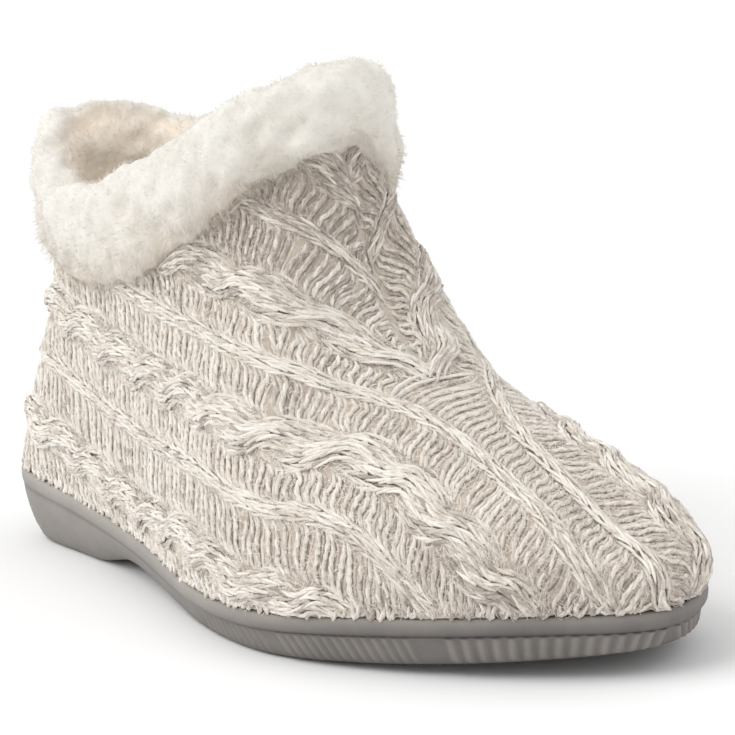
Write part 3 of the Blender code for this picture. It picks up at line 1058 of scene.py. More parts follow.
@dataclass
class Outsole:
    """Moulded sole: lip, recessed band with slanted ribs, wedge heel, arch and toe spring.

    Rows of its side give the inset at the heel and at the front, the height and the tone. The height is the
    drop below the feather line on the lip, and the share of the way up to the lip below it. The tone is
    painted light and shade: highest on the lip's rounded top, lower under the lip and down the recessed
    band to the floor.
    """

    last: Last
    finish: RubberFinish
    lip_height: float = 4.6
    lip_step: tuple[float, float] = (108.0, 140.0)
    # Last number of each row: tone, painted light on the lip's top and painted shade under it.
    lip_rows: Sequence[Row] = (
        (6.0, 6.0, 0.0, 0.4),
        (1.3, 1.3, 0.0, 0.7),
        (0.5, 0.5, 0.3, 0.85),
        (0.1, 0.1, 1.2, 0.8),
        (0.0, 0.0, 2.3, 0.7),
        (0.05, 0.15, 3.4, 0.62),
        (0.2, 0.8, 4.3, 0.5),
        (0.4, 1.7, 4.6, 0.3),
        (0.5, 2.3, 5.0, 0.3),
    )
    band_top: Row = (0.5, 2.5, 0.97, 0.52)
    band_foot: Row = (3.6, 3.5, 0.22, 0.42)
    band_bow: float = 1.6
    band_rows: int = 9
    foot_rows: Sequence[Row] = (
        (4.0, 3.8, 0.2, 0.42),
        (5.0, 4.5, 0.08, 0.36),
        (6.3, 5.5, 0.015, 0.3),
        (7.8, 6.8, 0.0, 0.3),
    )
    rib_rows: Sequence[Row] = (
        (5.45, 6.85, -38.0, -34.0, 3.0, 0.45),
        (7.05, 8.55, -34.0, -22.0, 2.75, 0.75),
        (8.85, 10.93, -14.0, 24.0, 3.7, 1.05),
    )
    rib_round: float = 0.7
    rib_foot: tuple[float, float] = (0.02, 0.2)
    rib_head: tuple[float, float] = (1.0, 0.88)
    ribbed_from: float = 5.2
    fine_step: float = 0.45
    coarse_step: float = 2.0
    search_steps: int = 4000
    # Painted light and shade: the sole is paler at the heel and lower in tone towards the toe and the
    # front, on the lip and on the band.
    painted_light_heel: tuple[float, float] = (30.0, 110.0)
    painted_light_tone: float = 0.1
    painted_shade_toe: tuple[float, float] = (110.0, 220.0)
    lip_painted_shade: float = 0.45
    band_painted_shade: float = 0.16
    front_painted_shade: float = 0.08
    rib_painted_light: float = 0.18

    def stations(self) -> Array:
        """Stations round the sole, close together where it is ribbed.

        Returns:
            Stations along the lateral side to the toe and back along the medial side.
        """
        fine = np.linspace(0, self.last.toe_station, self.search_steps)
        sides = []
        for around in (fine, self.last.stations - fine):
            place, _, _ = self.last.outline(around)
            run = along_length(place)
            first, end = np.interp(self.ribbed_from, fine, run), run[-1]
            plain = np.linspace(0, first, int(first / self.coarse_step), endpoint=False)
            ribbed = np.linspace(first, end, int((end - first) / self.fine_step))
            sides.append(np.interp(np.concatenate([plain, ribbed]), run, fine))
        share = np.linspace(0, 1, max(len(s) for s in sides))
        even = [np.interp(share, np.linspace(0, 1, len(s)), s) for s in sides]
        return np.concatenate([even[0], self.last.stations - even[1][-2:0:-1]])

    def side_rows(self) -> list[Row]:
        """Rows of the side below the lip.

        Returns:
            Rows from the top of the band to the floor.
        """
        top, foot = np.array(self.band_top), np.array(self.band_foot)
        rows = []
        for f in np.arange(1, self.band_rows + 1) / (self.band_rows + 1):
            rows.append(tuple(top + (foot - top) * (f**self.band_bow, f, f, f)))
        return [*rows, *self.foot_rows]

    def shade(self, x: Array, darkest: float) -> Array:
        """Painted light and shade along the sole: paler at the heel, which faces the light, and lower in
        tone by a share at the toe, which faces away from it.
        """
        pale = self.painted_light_tone * (1 - smooth_step(*self.painted_light_heel, x))
        return pale - darkest * smooth_step(*self.painted_shade_toe, x)

    def profile(self, t: Array) -> tuple[Array, Array]:
        """Rings down the side of the sole.

        Args:
            t: Stations round the sole.

        Returns:
            Points and tones, by ring and station.
        """
        place, outward, feather = self.last.outline(t)
        x = place[:, 0]
        front = smooth_step(*self.lip_step, x)
        low = self.last.underside(x)
        rings, tones = [], []
        for at_heel, at_front, drop, tone in self.lip_rows:
            inset = at_heel + (at_front - at_heel) * front
            rings.append(np.column_stack([place - outward * inset[:, None], feather - drop]))
            # Painted light and shade along the lip.
            tones.append(tone + self.shade(x, self.lip_painted_shade))
        for at_heel, at_front, share, tone in self.side_rows():
            z = low + share * (feather - self.lip_height - low)
            ends = smooth_step(*self.rib_foot, share) * smooth_step(*self.rib_head, share)
            ribs = self.rib_height(t, z) * ends
            inset = at_heel + (at_front - at_heel) * front - ribs
            rings.append(np.column_stack([place - outward * inset[:, None], z]))
            # Painted light and shade on the band: ribs paler where they stand out, valleys lower in tone,
            # the band lower towards the toe and the front.
            shade = self.shade(x, self.band_painted_shade) + self.rib_painted_light * ribs
            tones.append(tone + shade - self.front_painted_shade * front)
        return np.stack(rings), np.stack(tones)

    def rib_height(self, t: Array, z: Array) -> Array:
        """Height of the ribs at points of the side.

        Args:
            t: Stations of the points.
            z: Heights of the points.

        Returns:
            How far a rib stands out at each point.
        """
        height = np.zeros(len(t))
        folded = np.where(t <= self.last.toe_station, t, self.last.stations - t)
        fine = np.linspace(0, self.last.toe_station, self.search_steps)
        for side in Side:
            around = fine if side is Side.LATERAL else self.last.stations - fine
            place, _, feather = self.last.outline(around)
            run = along_length(place)
            here = (t <= self.last.toe_station) == (side is Side.LATERAL)
            middle = (feather - self.lip_height + self.last.underside(place[:, 0])) / 2
            above = z - np.interp(folded, fine, middle)
            for first, last, first_slant, last_slant, pitch, proud in self.rib_rows:
                share = np.clip((folded - first) / (last - first), 0, 1)
                slant = np.radians(first_slant + (last_slant - first_slant) * share)
                at = np.interp(folded, fine, run) - np.tan(slant) * above
                start, end = np.interp((first, last), fine, run)
                turns = round((end - start) / pitch) * (at - start) / (end - start)
                wave = 0.5 - 0.5 * np.cos(2 * np.pi * turns)
                window = (at > start) & (at < end) & here
                height += np.where(window, proud * wave**self.rib_round, 0.0)
        return height

    def build(self) -> None:
        """Make the sole and dress it."""
        rings, tones = self.profile(self.stations())
        levels, count, _ = rings.shape
        caps = across_faces(0, count, True) + across_faces((levels - 1) * count, count, False)
        faces = [ring_faces(levels, count, False), *by_corners(caps)]
        piece = Piece("outsole_rubber", rings.reshape(-1, 3), faces, tones.reshape(-1))
        piece.place(self.last.origin, self.finish.material(), "sole_rubber", "outsole")


@dataclass
class Footbed:
    """Fleece-covered footbed inside the wall, a little above the sole."""

    last: Last
    finish: FleeceFinish
    clearance: float = 1.0
    thickness: float = 4.5
    bevel: float = 1.4
    bevel_share: float = 0.12
    columns: int = 220
    rings: int = 26
    pile: float = 0.5
    pile_lumps: LumpRows = ((7.0, 11, 1.0), (3.0, 12, 0.6))
    pile_limits: tuple[float, float] = (-1.0, 0.5)
    tone: float = 0.6
    tone_lumps: LumpRows = ((5.0, 13, 0.15),)
    fill: float = 0.9

    def build(self) -> None:
        """Make the footbed and dress it."""
        t = np.linspace(0, self.last.stations, self.columns, endpoint=False)
        place, outward, feather = self.last.outline(t)
        inset = self.last.feather_inset + self.last.wall_thickness + self.clearance
        edge = place - outward * inset
        middle = (edge + edge[-np.arange(self.columns) % self.columns]) / 2
        levels = [np.column_stack([edge, feather + GAP])]
        levels.append(np.column_stack([edge, feather + self.thickness - self.bevel]))
        for f in np.arange(1, self.rings + 1) / self.rings:
            rise = self.thickness - self.bevel * (1 - smooth_step(0, self.bevel_share, f))
            levels.append(np.column_stack([edge + (middle - edge) * f, feather + rise]))
        points = np.stack(levels)
        soft = self.pile * lump_sum(points[2:], self.pile_lumps)
        points[2:, :, 2] += np.clip(soft, *self.pile_limits)
        walls = ring_faces(len(points), self.columns, False)
        faces = [walls[:, ::-1], *by_corners(across_faces(0, self.columns, False))]
        tone = np.clip(self.tone + lump_sum(points, self.tone_lumps), 0, 1)
        piece = Piece("footbed_pile", points.reshape(-1, 3), faces, tone.reshape(-1))
        obj = piece.place(self.last.origin, self.finish.material(), "footbed_fleece", "insole")


@dataclass(frozen=True)
class Stitch:
    """Legs of a V stitch.

    They stand wide apart at the top and near at the foot, and arch between. Pairs are the least and the
    most of a share that varies from leg to leg, and names with spread give a normal spread.
    """

    length: float
    pitch: float
    radius: float
    near: float
    wide: float = 1.2
    tone: float = 0.6
    steps: int = 5
    blunt: float = 0.35
    arch: float = 0.3
    sunk: float = 0.15
    stagger: float = 0.25
    slip: float = 0.2
    lengths: tuple[float, float] = (0.8, 1.15)
    radii: tuple[float, float] = (0.75, 1.15)
    across_spread: float = 0.14
    height_spread: float = 0.1
    tone_spread: float = 0.3
    # Painted shade on legs where their bundle passes under the other one in a cable.
    under_painted_shade: float = 0.35

    @property
    def along(self) -> Array:
        """Steps along a leg, 0 to 1."""
        return np.linspace(0, 1, self.steps)

    @property
    def ends(self) -> Array:
        """Share of the full thickness along a leg."""
        return np.sin(np.pi * (0.1 + 0.8 * self.along)) ** self.blunt

    @property
    def apart(self) -> Array:
        """Distance off the middle along a leg."""
        return self.near + (self.wide - self.near) * (1 - smooth_step(0, 1, self.along))

    @property
    def rise(self) -> Array:
        """Height along a leg."""
        return self.arch * np.sin(np.pi * self.along) - self.sunk


@dataclass(frozen=True)
class Rung:
    """S-shaped rung of a purl ladder, with a dark yarn behind it: its tone is partly the yarn's taupe and
    partly painted shade in the gaps between rungs.

    Names with spread give the normal spread of a measure from rung to rung, and pairs are the least and
    the most of a share.
    """

    pitch: float = 2.9
    steps: int = 8
    hook: float = 2.8
    hooks: tuple[float, float] = (0.5, 1.4)
    hook_bend: float = 1.5
    wave: float = 0.25
    wave_spread: float = 1.2
    place_spread: float = 0.35
    slant_spread: float = 0.6
    across_spread: float = 0.15
    height_spread: float = 0.1
    reach: float = 1.08
    base: float = 0.15
    arch: float = 0.32
    tuck: float = 0.25
    taper: float = 0.35
    tone: float = 0.68
    # The yarn behind the rungs: its low tone is partly the yarn's taupe and partly painted shade between
    # the rungs.
    back_radius: float = 0.62
    back_radii: tuple[float, float] = (0.8, 1.2)
    back_depth: float = 0.2
    back_tone_and_shade: float = 0.34
    back_spread: float = 0.15

    @property
    def along(self) -> Array:
        """Steps along a rung, -1 to 1."""
        return np.linspace(-1, 1, self.steps)

    @property
    def ends(self) -> Array:
        """Share of the full thickness along a rung."""
        return 1 - self.taper * np.abs(self.along) ** 6

    @property
    def rise(self) -> Array:
        """Height along a rung, tucked down at both ends."""
        return self.base + self.arch * (1 - self.along**2) - self.tuck * np.abs(self.along) ** 5

    @property
    def bend(self) -> Array:
        """Share of the hook along a rung."""
        return self.along * np.abs(self.along) ** self.hook_bend


@dataclass(frozen=True)
class HemLoop:
    """U-shaped loop of the bottom edge."""

    pitch: float = 3.1
    slip: float = 0.9
    half: float = 1.15
    tall: float = 3.4
    talls: tuple[float, float] = (0.6, 1.3)
    bend: float = 1.6
    lean_spread: float = 0.5
    drop: float = 0.7
    stand: float = 0.9
    tuck: float = 0.5
    steps: int = 7
    taper: float = 0.4
    tone: float = 0.66


@dataclass(frozen=True)
class Ply:
    """Yarn of two plies twisted together."""

    radius: float = 0.56
    radii: tuple[float, float] = (0.8, 1.15)
    apart: float = 0.32
    flat: float = 0.8
    turn: float = 5.0
    dark: float = 0.12
    tone_spread: float = 0.22


@dataclass(frozen=True)
class LooseHair:
    """Fine hair lying over the knit."""

    count: int = 15500
    length: tuple[float, float] = (1.2, 3.4)
    width: float = 0.08
    root: tuple[float, float] = (0.2, 1.0)
    turn: float = 0.8
    rise: tuple[float, float] = (0.1, 0.7)
    fall: float = 0.8
    tone: float = 0.8
    tone_spread: float = 0.12


@dataclass
class LegBend:
    """How a row of V stitches runs: its place in the column, rise and swing."""

    centre: float
    place: float
    rise: float
    swing: float = 0.0
    climb: float = 0.0
    period: float = 1.0
    start: float = 0.0
    phase: float = 0.0
    tighten: float = 0.0008
    pinch: float = 0.25
    square: float = 1.8

    def turn(self, a: Array) -> Array:
        """Angle through the swing at lengths along the column, faster towards the toe."""
        past = a - self.start
        return 2 * np.pi * (past + self.tighten * past * np.abs(past)) / self.period + self.phase

    def across(self, a: Array) -> Array:
        """Distance across at lengths along the column, drawn together where two bundles cross."""
        drawn = 1 - self.pinch * np.sin(self.turn(a)) ** 2
        return self.centre + self.place * drawn + self.swing * np.tanh(self.square * np.cos(self.turn(a)))

    def height(self, a: Array) -> Array:
        """Height over the ground at lengths along the column."""
        return self.rise + self.climb * np.sin(self.turn(a))

    def under(self, a: Array) -> Array:
        """Share, 0 to -1, by which the row passes under another."""
        return np.minimum(np.sin(self.turn(a)), 0) * (self.climb > 0)


@dataclass
class KnitUpper:
    """Cable-knit wall: ground fabric, ladders of purl, ribs, cables, front seam and fleece lining."""

    last: Last
    yarn: YarnFinish
    ground: YarnFinish
    lining: FleeceFinish
    columns: Sequence[tuple[Column, float]] = (
        (Column.CABLE, -56.0),
        (Column.RIB, -34.5),
        (Column.CABLE, -10.5),
        (Column.RIB, 7.5),
        (Column.CABLE, 27.5),
        (Column.RIB, 45.5),
        (Column.CABLE, 68.0),
        (Column.RIB, 90.0),
        (Column.CABLE, 110.0),
    )
    cushion: float = 0.85
    cushion_margin: float = 1.0
    fade: float = 6.0
    seam_depth: float = 1.6
    seam_half: float = 5.0
    seam_end: float = 10.0
    creases: Sequence[Row] = (
        (66.0, 10.0, 16.0, 5.0, 0.9),
        (88.0, 34.0, 22.0, 6.0, 0.7),
        (168.0, 30.0, 14.0, 5.0, 0.8),
    )
    crease_slant: float = 0.35
    edge_slack: tuple[float, float] = (0.4, 0.3)
    end_slack: tuple[float, float] = (1.5, 1.0)
    ply: Ply = Ply()
    rung: Rung = Rung()
    ladder_tuck: float = 0.4
    centre_half: float = 4.6
    centre_reach: float = 1.06
    centre_overlap: float = 2.0
    rib_stitch: Stitch = Stitch(length=7.8, pitch=3.9, radius=0.52, near=0.3, tone=0.68)
    rib_places: tuple[float, float] = (-1.45, 1.45)
    rib_rise: float = 0.2
    cable_stitch: Stitch = Stitch(length=6.4, pitch=3.1, radius=0.55, near=0.25)
    cable_places: Sequence[float] = (-4.2, -1.4, 1.4, 4.2)
    cable_lobe: float = 26.0
    cable_swing: float = 2.7
    cable_rise: float = 0.65
    cable_round: float = 0.03
    cable_climb: float = 1.15
    hem_loop: HemLoop = HemLoop()
    hair: LooseHair = LooseHair()
    # Painted shade on the knit, up towards the ankle under the collar and low on the toe.
    ankle: tuple[float, float] = (72.0, 112.0)
    ankle_painted_shade: float = 0.5
    low: tuple[float, float] = (45.0, 18.0)
    toe: tuple[float, float] = (140.0, 235.0)
    toe_painted_shade: float = 0.3
    ground_sunk: float = 0.1
    ground_thick: float = 1.0
    ground_rows: int = 30
    lining_gap: float = 0.1
    lining_pile: float = 0.35
    lining_rows: int = 20
    pile_lumps: LumpRows = ((6.0, 21, 1.0), (2.8, 22, 0.7))
    pile_limit: float = 1.5
    sheet_tone: float = 0.5
    sheet_lumps: LumpRows = ((9.0, 23, 0.16), (2.0, 24, 0.1))
    collar_tuck: float = 2.5
    tuck_end: float = 5.0
    throat_web: float = 3.5
    charts: dict[Side, KnitChart] = field(init=False)
    rng: np.random.Generator = field(init=False)

    def __post_init__(self) -> None:
        """Chart both sides of the knit."""
        self.charts = {side: KnitChart(self.last, side) for side in Side}
        self.rng = np.random.default_rng(7)

    def spread(self, size: float, count: int) -> Array:
        """Normal spread of a measure, one row for each strand."""
        return self.rng.normal(0, size, (count, 1))

    def relief(self, chart: KnitChart, s: Array, b: Array) -> Array:
        """Soft form under the yarn: cushions under ribs and cables, the front seam and a few creases.

        Args:
            chart: Side of the knit.
            s: Sections.
            b: Distances across.

        Returns:
            Height over the plain wall.
        """
        _, high = chart.limits(s)
        height = np.zeros_like(b)
        dart, throat = chart.dart_end, self.last.throat[0]
        for kind, centre in self.columns:
            stops = smooth_step(dart - self.fade, dart, s) if centre < 0 else 0.0
            swell = raised(b - centre, kind.value + self.cushion_margin)
            height = height + self.cushion * (1 - stops) * swell
        height = height * smooth_step(0, self.fade, high - b)
        opens = smooth_step(throat - self.fade, throat, s)
        closes = smooth_step(dart - self.seam_end, dart + self.fade, s)
        groove = raised(b - np.interp(s, chart.s, chart.top), self.seam_half)
        height = height - self.seam_depth * opens * (1 - closes) * groove
        for place, across, long, wide, depth in self.creases:
            slant = (b - across) + self.crease_slant * (s - place)
            fold = np.exp(-(((s - place) / wide) ** 2)) * np.exp(-((slant / long) ** 2))
            height = height - depth * fold
        return height

    def lay(self, column: ColumnPath, a: Array, b: Array, h: Array) -> tuple[Array, Array, Array]:
        """Strand centre lines on the knit.

        Args:
            column: Column that the lengths are measured along.
            a: Lengths, by strand and step.
            b: Distances across, by strand and step.
            h: Heights over the ground.

        Returns:
            Points and outward directions of the strands that lie on the knit, and which those are.
        """
        chart = column.chart
        s = column.section(a)
        low, high = chart.limits(s)
        inside = (b > low - self.edge_slack[0]) & (b < high + self.edge_slack[1])
        inside &= (s > chart.s[0] - self.end_slack[0]) & (s < chart.s[-1] + self.end_slack[1])
        keep = inside.mean(axis=1) > 0.5
        b = np.clip(b, low, high)
        points, facing = chart.sample(s[keep], b[keep])
        rise = self.relief(chart, s[keep], b[keep]) + h[keep]
        return points + facing * rise[..., None], facing, keep

    def painted_shade(self, points: Array) -> Array:
        """Painted shade on the knit: a share taken off the tone up towards the ankle, in the collar's
        shade, and low on the toe.
        """
        low_toe = smooth_step(*self.low, points[..., 2]) * smooth_step(*self.toe, points[..., 0])
        return self.ankle_painted_shade * smooth_step(*self.ankle, points[..., 2]) + self.toe_painted_shade * low_toe

    def plies(self, strands: Strands, path: Array, facing: Array, ends: Array, shade: float) -> None:
        """Add yarns of two plies twisted together.

        Args:
            strands: Where the strands go.
            path: Centre line of each yarn.
            facing: Outward directions.
            ends: Share of the full thickness at each step.
            shade: Tone of the paler ply.
        """
        count, steps, _ = path.shape
        if not count:
            return
        ply = self.ply
        beside = unit(np.cross(unit(np.gradient(path, axis=1)), facing))
        run = np.cumsum(np.linalg.norm(np.diff(path, axis=1), axis=2), axis=1)
        run = np.pad(run, ((0, 0), (1, 0)))
        start = self.rng.uniform(0, 2 * np.pi, (count, 1))
        for k in range(2):
            turn = start + np.pi * k + 2 * np.pi * run / ply.turn
            aside, up = np.cos(turn) * ply.apart * ends, np.sin(turn) * ply.apart * ends * ply.flat
            shifted = path + beside * aside[..., None] + facing * up[..., None]
            radius = ply.radius * ends * self.rng.uniform(*ply.radii, (count, steps))
            tone = shade - ply.dark * k + self.spread(ply.tone_spread, count) - self.painted_shade(path)
            strands.add(shifted, facing, radius, tone)

    def ladders(self, side: Side, strands: Strands) -> None:
        """Purl strips between the columns, each a ladder of rungs.

        Args:
            side: Side of the knit.
            strands: Where the strands go.
        """
        chart = self.charts[side]
        for (above, first), (below, second) in zip(self.columns, self.columns[1:]):
            top, bottom = first + above.value, second - below.value
            half = (bottom - top) / 2 + self.ladder_tuck
            self.rungs(strands, ColumnPath(chart, (top + bottom) / 2, half, last=chart.end_of(first)))
        if side is Side.LATERAL:
            self.centre_ladder(chart, strands)

    def rungs(self, strands: Strands, column: ColumnPath) -> None:
        """Rungs of one ladder.

        Args:
            strands: Where the strands go.
            column: Column of the ladder.
        """
        rung = self.rung
        count = int(column.length / rung.pitch)
        if count < 2:
            return
        u = rung.along
        slip = self.spread(rung.place_spread, count) + u * self.spread(rung.slant_spread, count)
        wave = np.sin(self.spread(rung.wave_spread, count) + 2 * np.pi * u)
        start = column.spaced(count)
        a = start + (slip + rung.wave * wave * (1 - u**2)) + self.hooks(count)
        low, high = column.chart.limits(column.section(start))
        bottom = np.maximum(column.across - column.half * rung.reach, low)
        top = np.minimum(column.across + column.half * rung.reach, high)
        b = bottom + (top - bottom) * (u + 1) / 2 + self.spread(rung.across_spread, count)
        self.lay_rungs(strands, column, a, b)

    def hooks(self, count: int) -> Array:
        """Forward hook of each rung towards both its ends."""
        return self.rung.hook * self.rng.uniform(*self.rung.hooks, (count, 1)) * self.rung.bend

    def lay_rungs(self, strands: Strands, column: ColumnPath, a: Array, b: Array) -> None:
        """Add rungs and the dark yarn that shows between them, its low tone partly taupe and partly painted
        shade.

        Args:
            strands: Where the strands go.
            column: Column of the ladder.
            a: Lengths along the column, by rung and step.
            b: Distances across, by rung and step.
        """
        rung = self.rung
        h = rung.rise + self.spread(rung.height_spread, len(a))
        path, facing, _ = self.lay(column, a, b, h)
        self.plies(strands, path, facing, rung.ends, rung.tone)
        path, facing, _ = self.lay(column, a + rung.pitch / 2, b, np.full_like(h, -rung.back_depth))
        radius = rung.back_radius * self.rng.uniform(*rung.back_radii, path.shape[:2])
        # Low tone of the yarn behind: partly taupe, partly painted shade in the gaps.
        tone = rung.back_tone_and_shade + self.spread(rung.back_spread, len(path)) - self.painted_shade(path)
        strands.add(path, facing, radius, tone)

    def centre_ladder(self, chart: KnitChart, strands: Strands) -> None:
        """Ladder along the middle of the forefoot, wide where the front seam ends.

        Args:
            chart: Side of the knit that carries it.
            strands: Where the strands go.
        """
        half = self.centre_half
        column = ColumnPath(chart, 0.0, half, first=chart.dart_end - self.centre_overlap)
        count = int(column.length / self.rung.pitch)
        start = column.spaced(count)
        spread = np.interp(column.section(start), chart.s, chart.spread)
        a = start + self.hooks(count)
        b = -spread + (half + spread) * self.centre_reach * self.rung.along
        self.lay_rungs(strands, column, a, b)

    def hem(self, side: Side, strands: Strands) -> None:
        """Loops of yarn along the bottom edge, some of them down on the lip of the sole.

        Args:
            side: Side of the knit.
            strands: Where the strands go.
        """
        chart, loop = self.charts[side], self.hem_loop
        middle = np.arange(chart.s[0], chart.s[-1], loop.pitch)[:, None]
        middle = middle + self.rng.uniform(-loop.slip, loop.slip, middle.shape)
        u = np.linspace(-1, 1, loop.steps)
        away = np.abs(u)
        up = loop.tall * away**loop.bend * self.rng.uniform(*loop.talls, middle.shape)
        lean = self.spread(loop.lean_spread, len(middle)) * away
        s = np.clip(middle + loop.half * u + lean, chart.s[0], chart.s[-1])
        points, facing = chart.sample(s, np.interp(s, chart.s, chart.high) - up)
        path = points + facing * (loop.stand - loop.tuck * away)[:, None]
        path[..., 2] -= self.rng.uniform(-loop.drop, loop.drop, middle.shape) * (1 - away)
        self.plies(strands, path, facing, 1 - loop.taper * away**3, loop.tone)

    def paths(self, side: Side, kind: Column) -> list[ColumnPath]:
        """Paths of one kind of column.

        Args:
            side: Side of the knit.
            kind: Kind of column.

        Returns:
            One path for each column of the kind.
        """
        chart = self.charts[side]
        centres = [centre for found, centre in self.columns if found is kind]
        return [ColumnPath(chart, centre, kind.value, last=chart.end_of(centre)) for centre in centres]

    def legs(self, strands: Strands, column: ColumnPath, bend: LegBend, stitch: Stitch) -> None:
        """Two rows of slanted legs along a column, meeting in a V towards the toe.

        Args:
            strands: Where the strands go.
            column: Column that the legs follow.
            bend: How the column swings and rises.
            stitch: Size and spread of the legs.
        """
        count = int(column.length / stitch.pitch)
        if count < 2:
            return
        for sign in (-1, 1):
            phase = stitch.stagger * sign + self.rng.uniform(-stitch.slip, stitch.slip)
            length = stitch.length * self.rng.uniform(*stitch.lengths, (count, 1))
            a = column.spaced(count, phase) + length * (stitch.along - 0.5)
            b = bend.across(a) + sign * stitch.apart + self.spread(stitch.across_spread, count)
            h = bend.height(a) + stitch.rise + self.spread(stitch.height_spread, count)
            path, facing, kept = self.lay(column, a, b, h)
            radius = stitch.radius * stitch.ends * self.rng.uniform(*stitch.radii, path.shape[:2])
            # Painted shade where the bundle passes under the other.
            tone = stitch.tone + stitch.under_painted_shade * bend.under(a[kept])
            tone = tone + self.spread(stitch.tone_spread, len(path)) - self.painted_shade(path)
            strands.add(path, facing, radius, tone)

    def ribs(self, side: Side, strands: Strands) -> None:
        """Ribs between the ladders, each a chain of V stitches.

        Args:
            side: Side of the knit.
            strands: Where the strands go.
        """
        for column in self.paths(side, Column.RIB):
            for place in self.rib_places:
                bend = LegBend(column.across, place, self.rib_rise)
                self.legs(strands, column, bend, self.rib_stitch)

    def cables(self, side: Side, strands: Strands) -> None:
        """Cables of two bundles that cross over each other.

        Args:
            side: Side of the knit.
            strands: Where the strands go.
        """
        for column in self.paths(side, Column.CABLE):
            shift = self.rng.uniform(0, self.cable_lobe)
            for bundle in range(2):
                for place in self.cable_places:
                    fall = self.cable_round * place**2
                    bend = LegBend(
                        column.across,
                        place,
                        rise=self.cable_rise - fall,
                        swing=self.cable_swing,
                        climb=self.cable_climb * (1 - fall),
                        period=2 * self.cable_lobe,
                        start=shift,
                        phase=np.pi * bundle,
                    )
                    self.legs(strands, column, bend, self.cable_stitch)

    def fuzz(self, side: Side) -> Piece:
        """Fine loose hairs lying over the knit.

        Args:
            side: Side of the knit.

        Returns:
            One joined mesh of the hairs.
        """
        chart, hair, rng = self.charts[side], self.hair, self.rng
        count = hair.count
        across = chart.high - chart.top
        s = rng.choice(chart.s, count, p=across / across.sum())
        s = np.clip(s + rng.uniform(-0.5, 0.5, count), chart.s[0], chart.s[-1])
        top, high = np.interp(s, chart.s, chart.top), np.interp(s, chart.s, chart.high)
        b = top + (high - top) * rng.uniform(0, 1, count)
        root, facing = chart.sample(s, b)
        root = root + facing * (self.relief(chart, s, b) + rng.uniform(*hair.root, count))[:, None]
        heading = rng.normal(0, 1, (count, 3))
        heading = unit(heading - facing * np.sum(heading * facing, axis=1)[:, None])
        turn = np.cross(facing, heading) * rng.uniform(-hair.turn, hair.turn, (count, 1))
        length = rng.uniform(*hair.length, count)[:, None, None]
        f = np.linspace(0, 1, HAIR_STEPS)[None, :, None]
        lift = rng.uniform(*hair.rise, (count, 1, 1)) * (f - hair.fall * f**2)
        run = heading[:, None] * f + turn[:, None] * f**2 + facing[:, None] * lift
        path = root[:, None] + length * run
        tone = hair.tone + self.spread(hair.tone_spread, count) - self.painted_shade(path)
        return ribbons(f"knit_fuzz_{side.name.lower()}", path, facing, hair.width, tone)

    def halves(self, rows: int) -> tuple[Array, ...]:
        """Grids over both sides of the wall, their top row tucked up under the fleece.

        Args:
            rows: Steps from the top to the sole.

        Returns:
            Points, outward directions and reliefs, by side, section and row.
        """
        throat = self.last.throat[0]
        share = np.linspace(0, 1, rows + 1)
        found = []
        for chart in self.charts.values():
            s = np.repeat(chart.s[:, None], rows + 1, axis=1)
            b = chart.top[:, None] + (chart.high - chart.top)[:, None] * share
            points, facing = chart.sample(s, b)
            points[:, 0, 2] += self.collar_tuck * (1 - smooth_step(throat, throat + self.tuck_end, chart.s))
            found.append((points, facing, self.relief(chart, s, b)))
        return tuple(np.stack(grids) for grids in zip(*found))

    def shell(self, name: str, outer: float, inner: float, pile: float, rows: int) -> Piece:
        """Closed sheet that follows the wall.

        Args:
            name: Name of the piece.
            outer: Depth of its outer face.
            inner: Depth of its inner face.
            pile: Height of lumps on its inner face.
            rows: Steps from the top to the sole.

        Returns:
            The mesh, open at the collar and underneath.
        """
        points, facing, height = self.halves(rows)
        index = np.arange(height.size).reshape(height.shape)
        closed = self.charts[Side.LATERAL].s >= self.last.throat[0] - self.throat_web
        points[:, closed, 0] = points[:, closed, 0].mean(axis=0)
        facing[0, closed, 0] = unit(facing[0, closed, 0] + facing[1, closed, 0])
        facing[0, 0] = unit(facing[0, 0] + facing[1, 0])
        index[1, closed, 0] = index[0, closed, 0]
        index[1, 0] = index[0, 0]
        corners = [index[:, :-1, :-1], index[:, 1:, :-1], index[:, 1:, 1:], index[:, :-1, 1:]]
        lateral, medial = (faces.reshape(-1, 4) for faces in np.stack(corners, axis=-1))
        quads = np.concatenate([lateral[:, ::-1], medial])
        seam = int(np.argmax(closed))
        rims = [
            index[0, :, -1],
            index[1, ::-1, -1],
            index[0, ~closed, 0][::-1],
            index[1, ~closed, 0],
            index[0, [seam, seam - 1], 0],
            index[1, [seam - 1, seam], 0],
            index[0, -1, ::-1],
            index[1, -1],
        ]
        base, normal = points.reshape(-1, 3), facing.reshape(-1, 3)
        count = len(base)
        edges = [np.stack([r[:-1], r[1:], r[1:] + count, r[:-1] + count], axis=-1) for r in rims]
        every = np.concatenate([quads, quads[:, ::-1] + count, *edges])
        used, packed = np.unique(every, return_inverse=True)
        front = base + normal * (height.reshape(-1) - outer)[:, None]
        soft = pile * np.clip(lump_sum(base, self.pile_lumps), -self.pile_limit, self.pile_limit)
        back = base - normal * (inner + soft)[:, None]
        both = np.concatenate([front, back])[used]
        tone = np.clip(self.sheet_tone + lump_sum(both, self.sheet_lumps), 0, 1)
        return Piece(name, both, by_corners(packed.reshape(-1, 4).tolist()), tone)

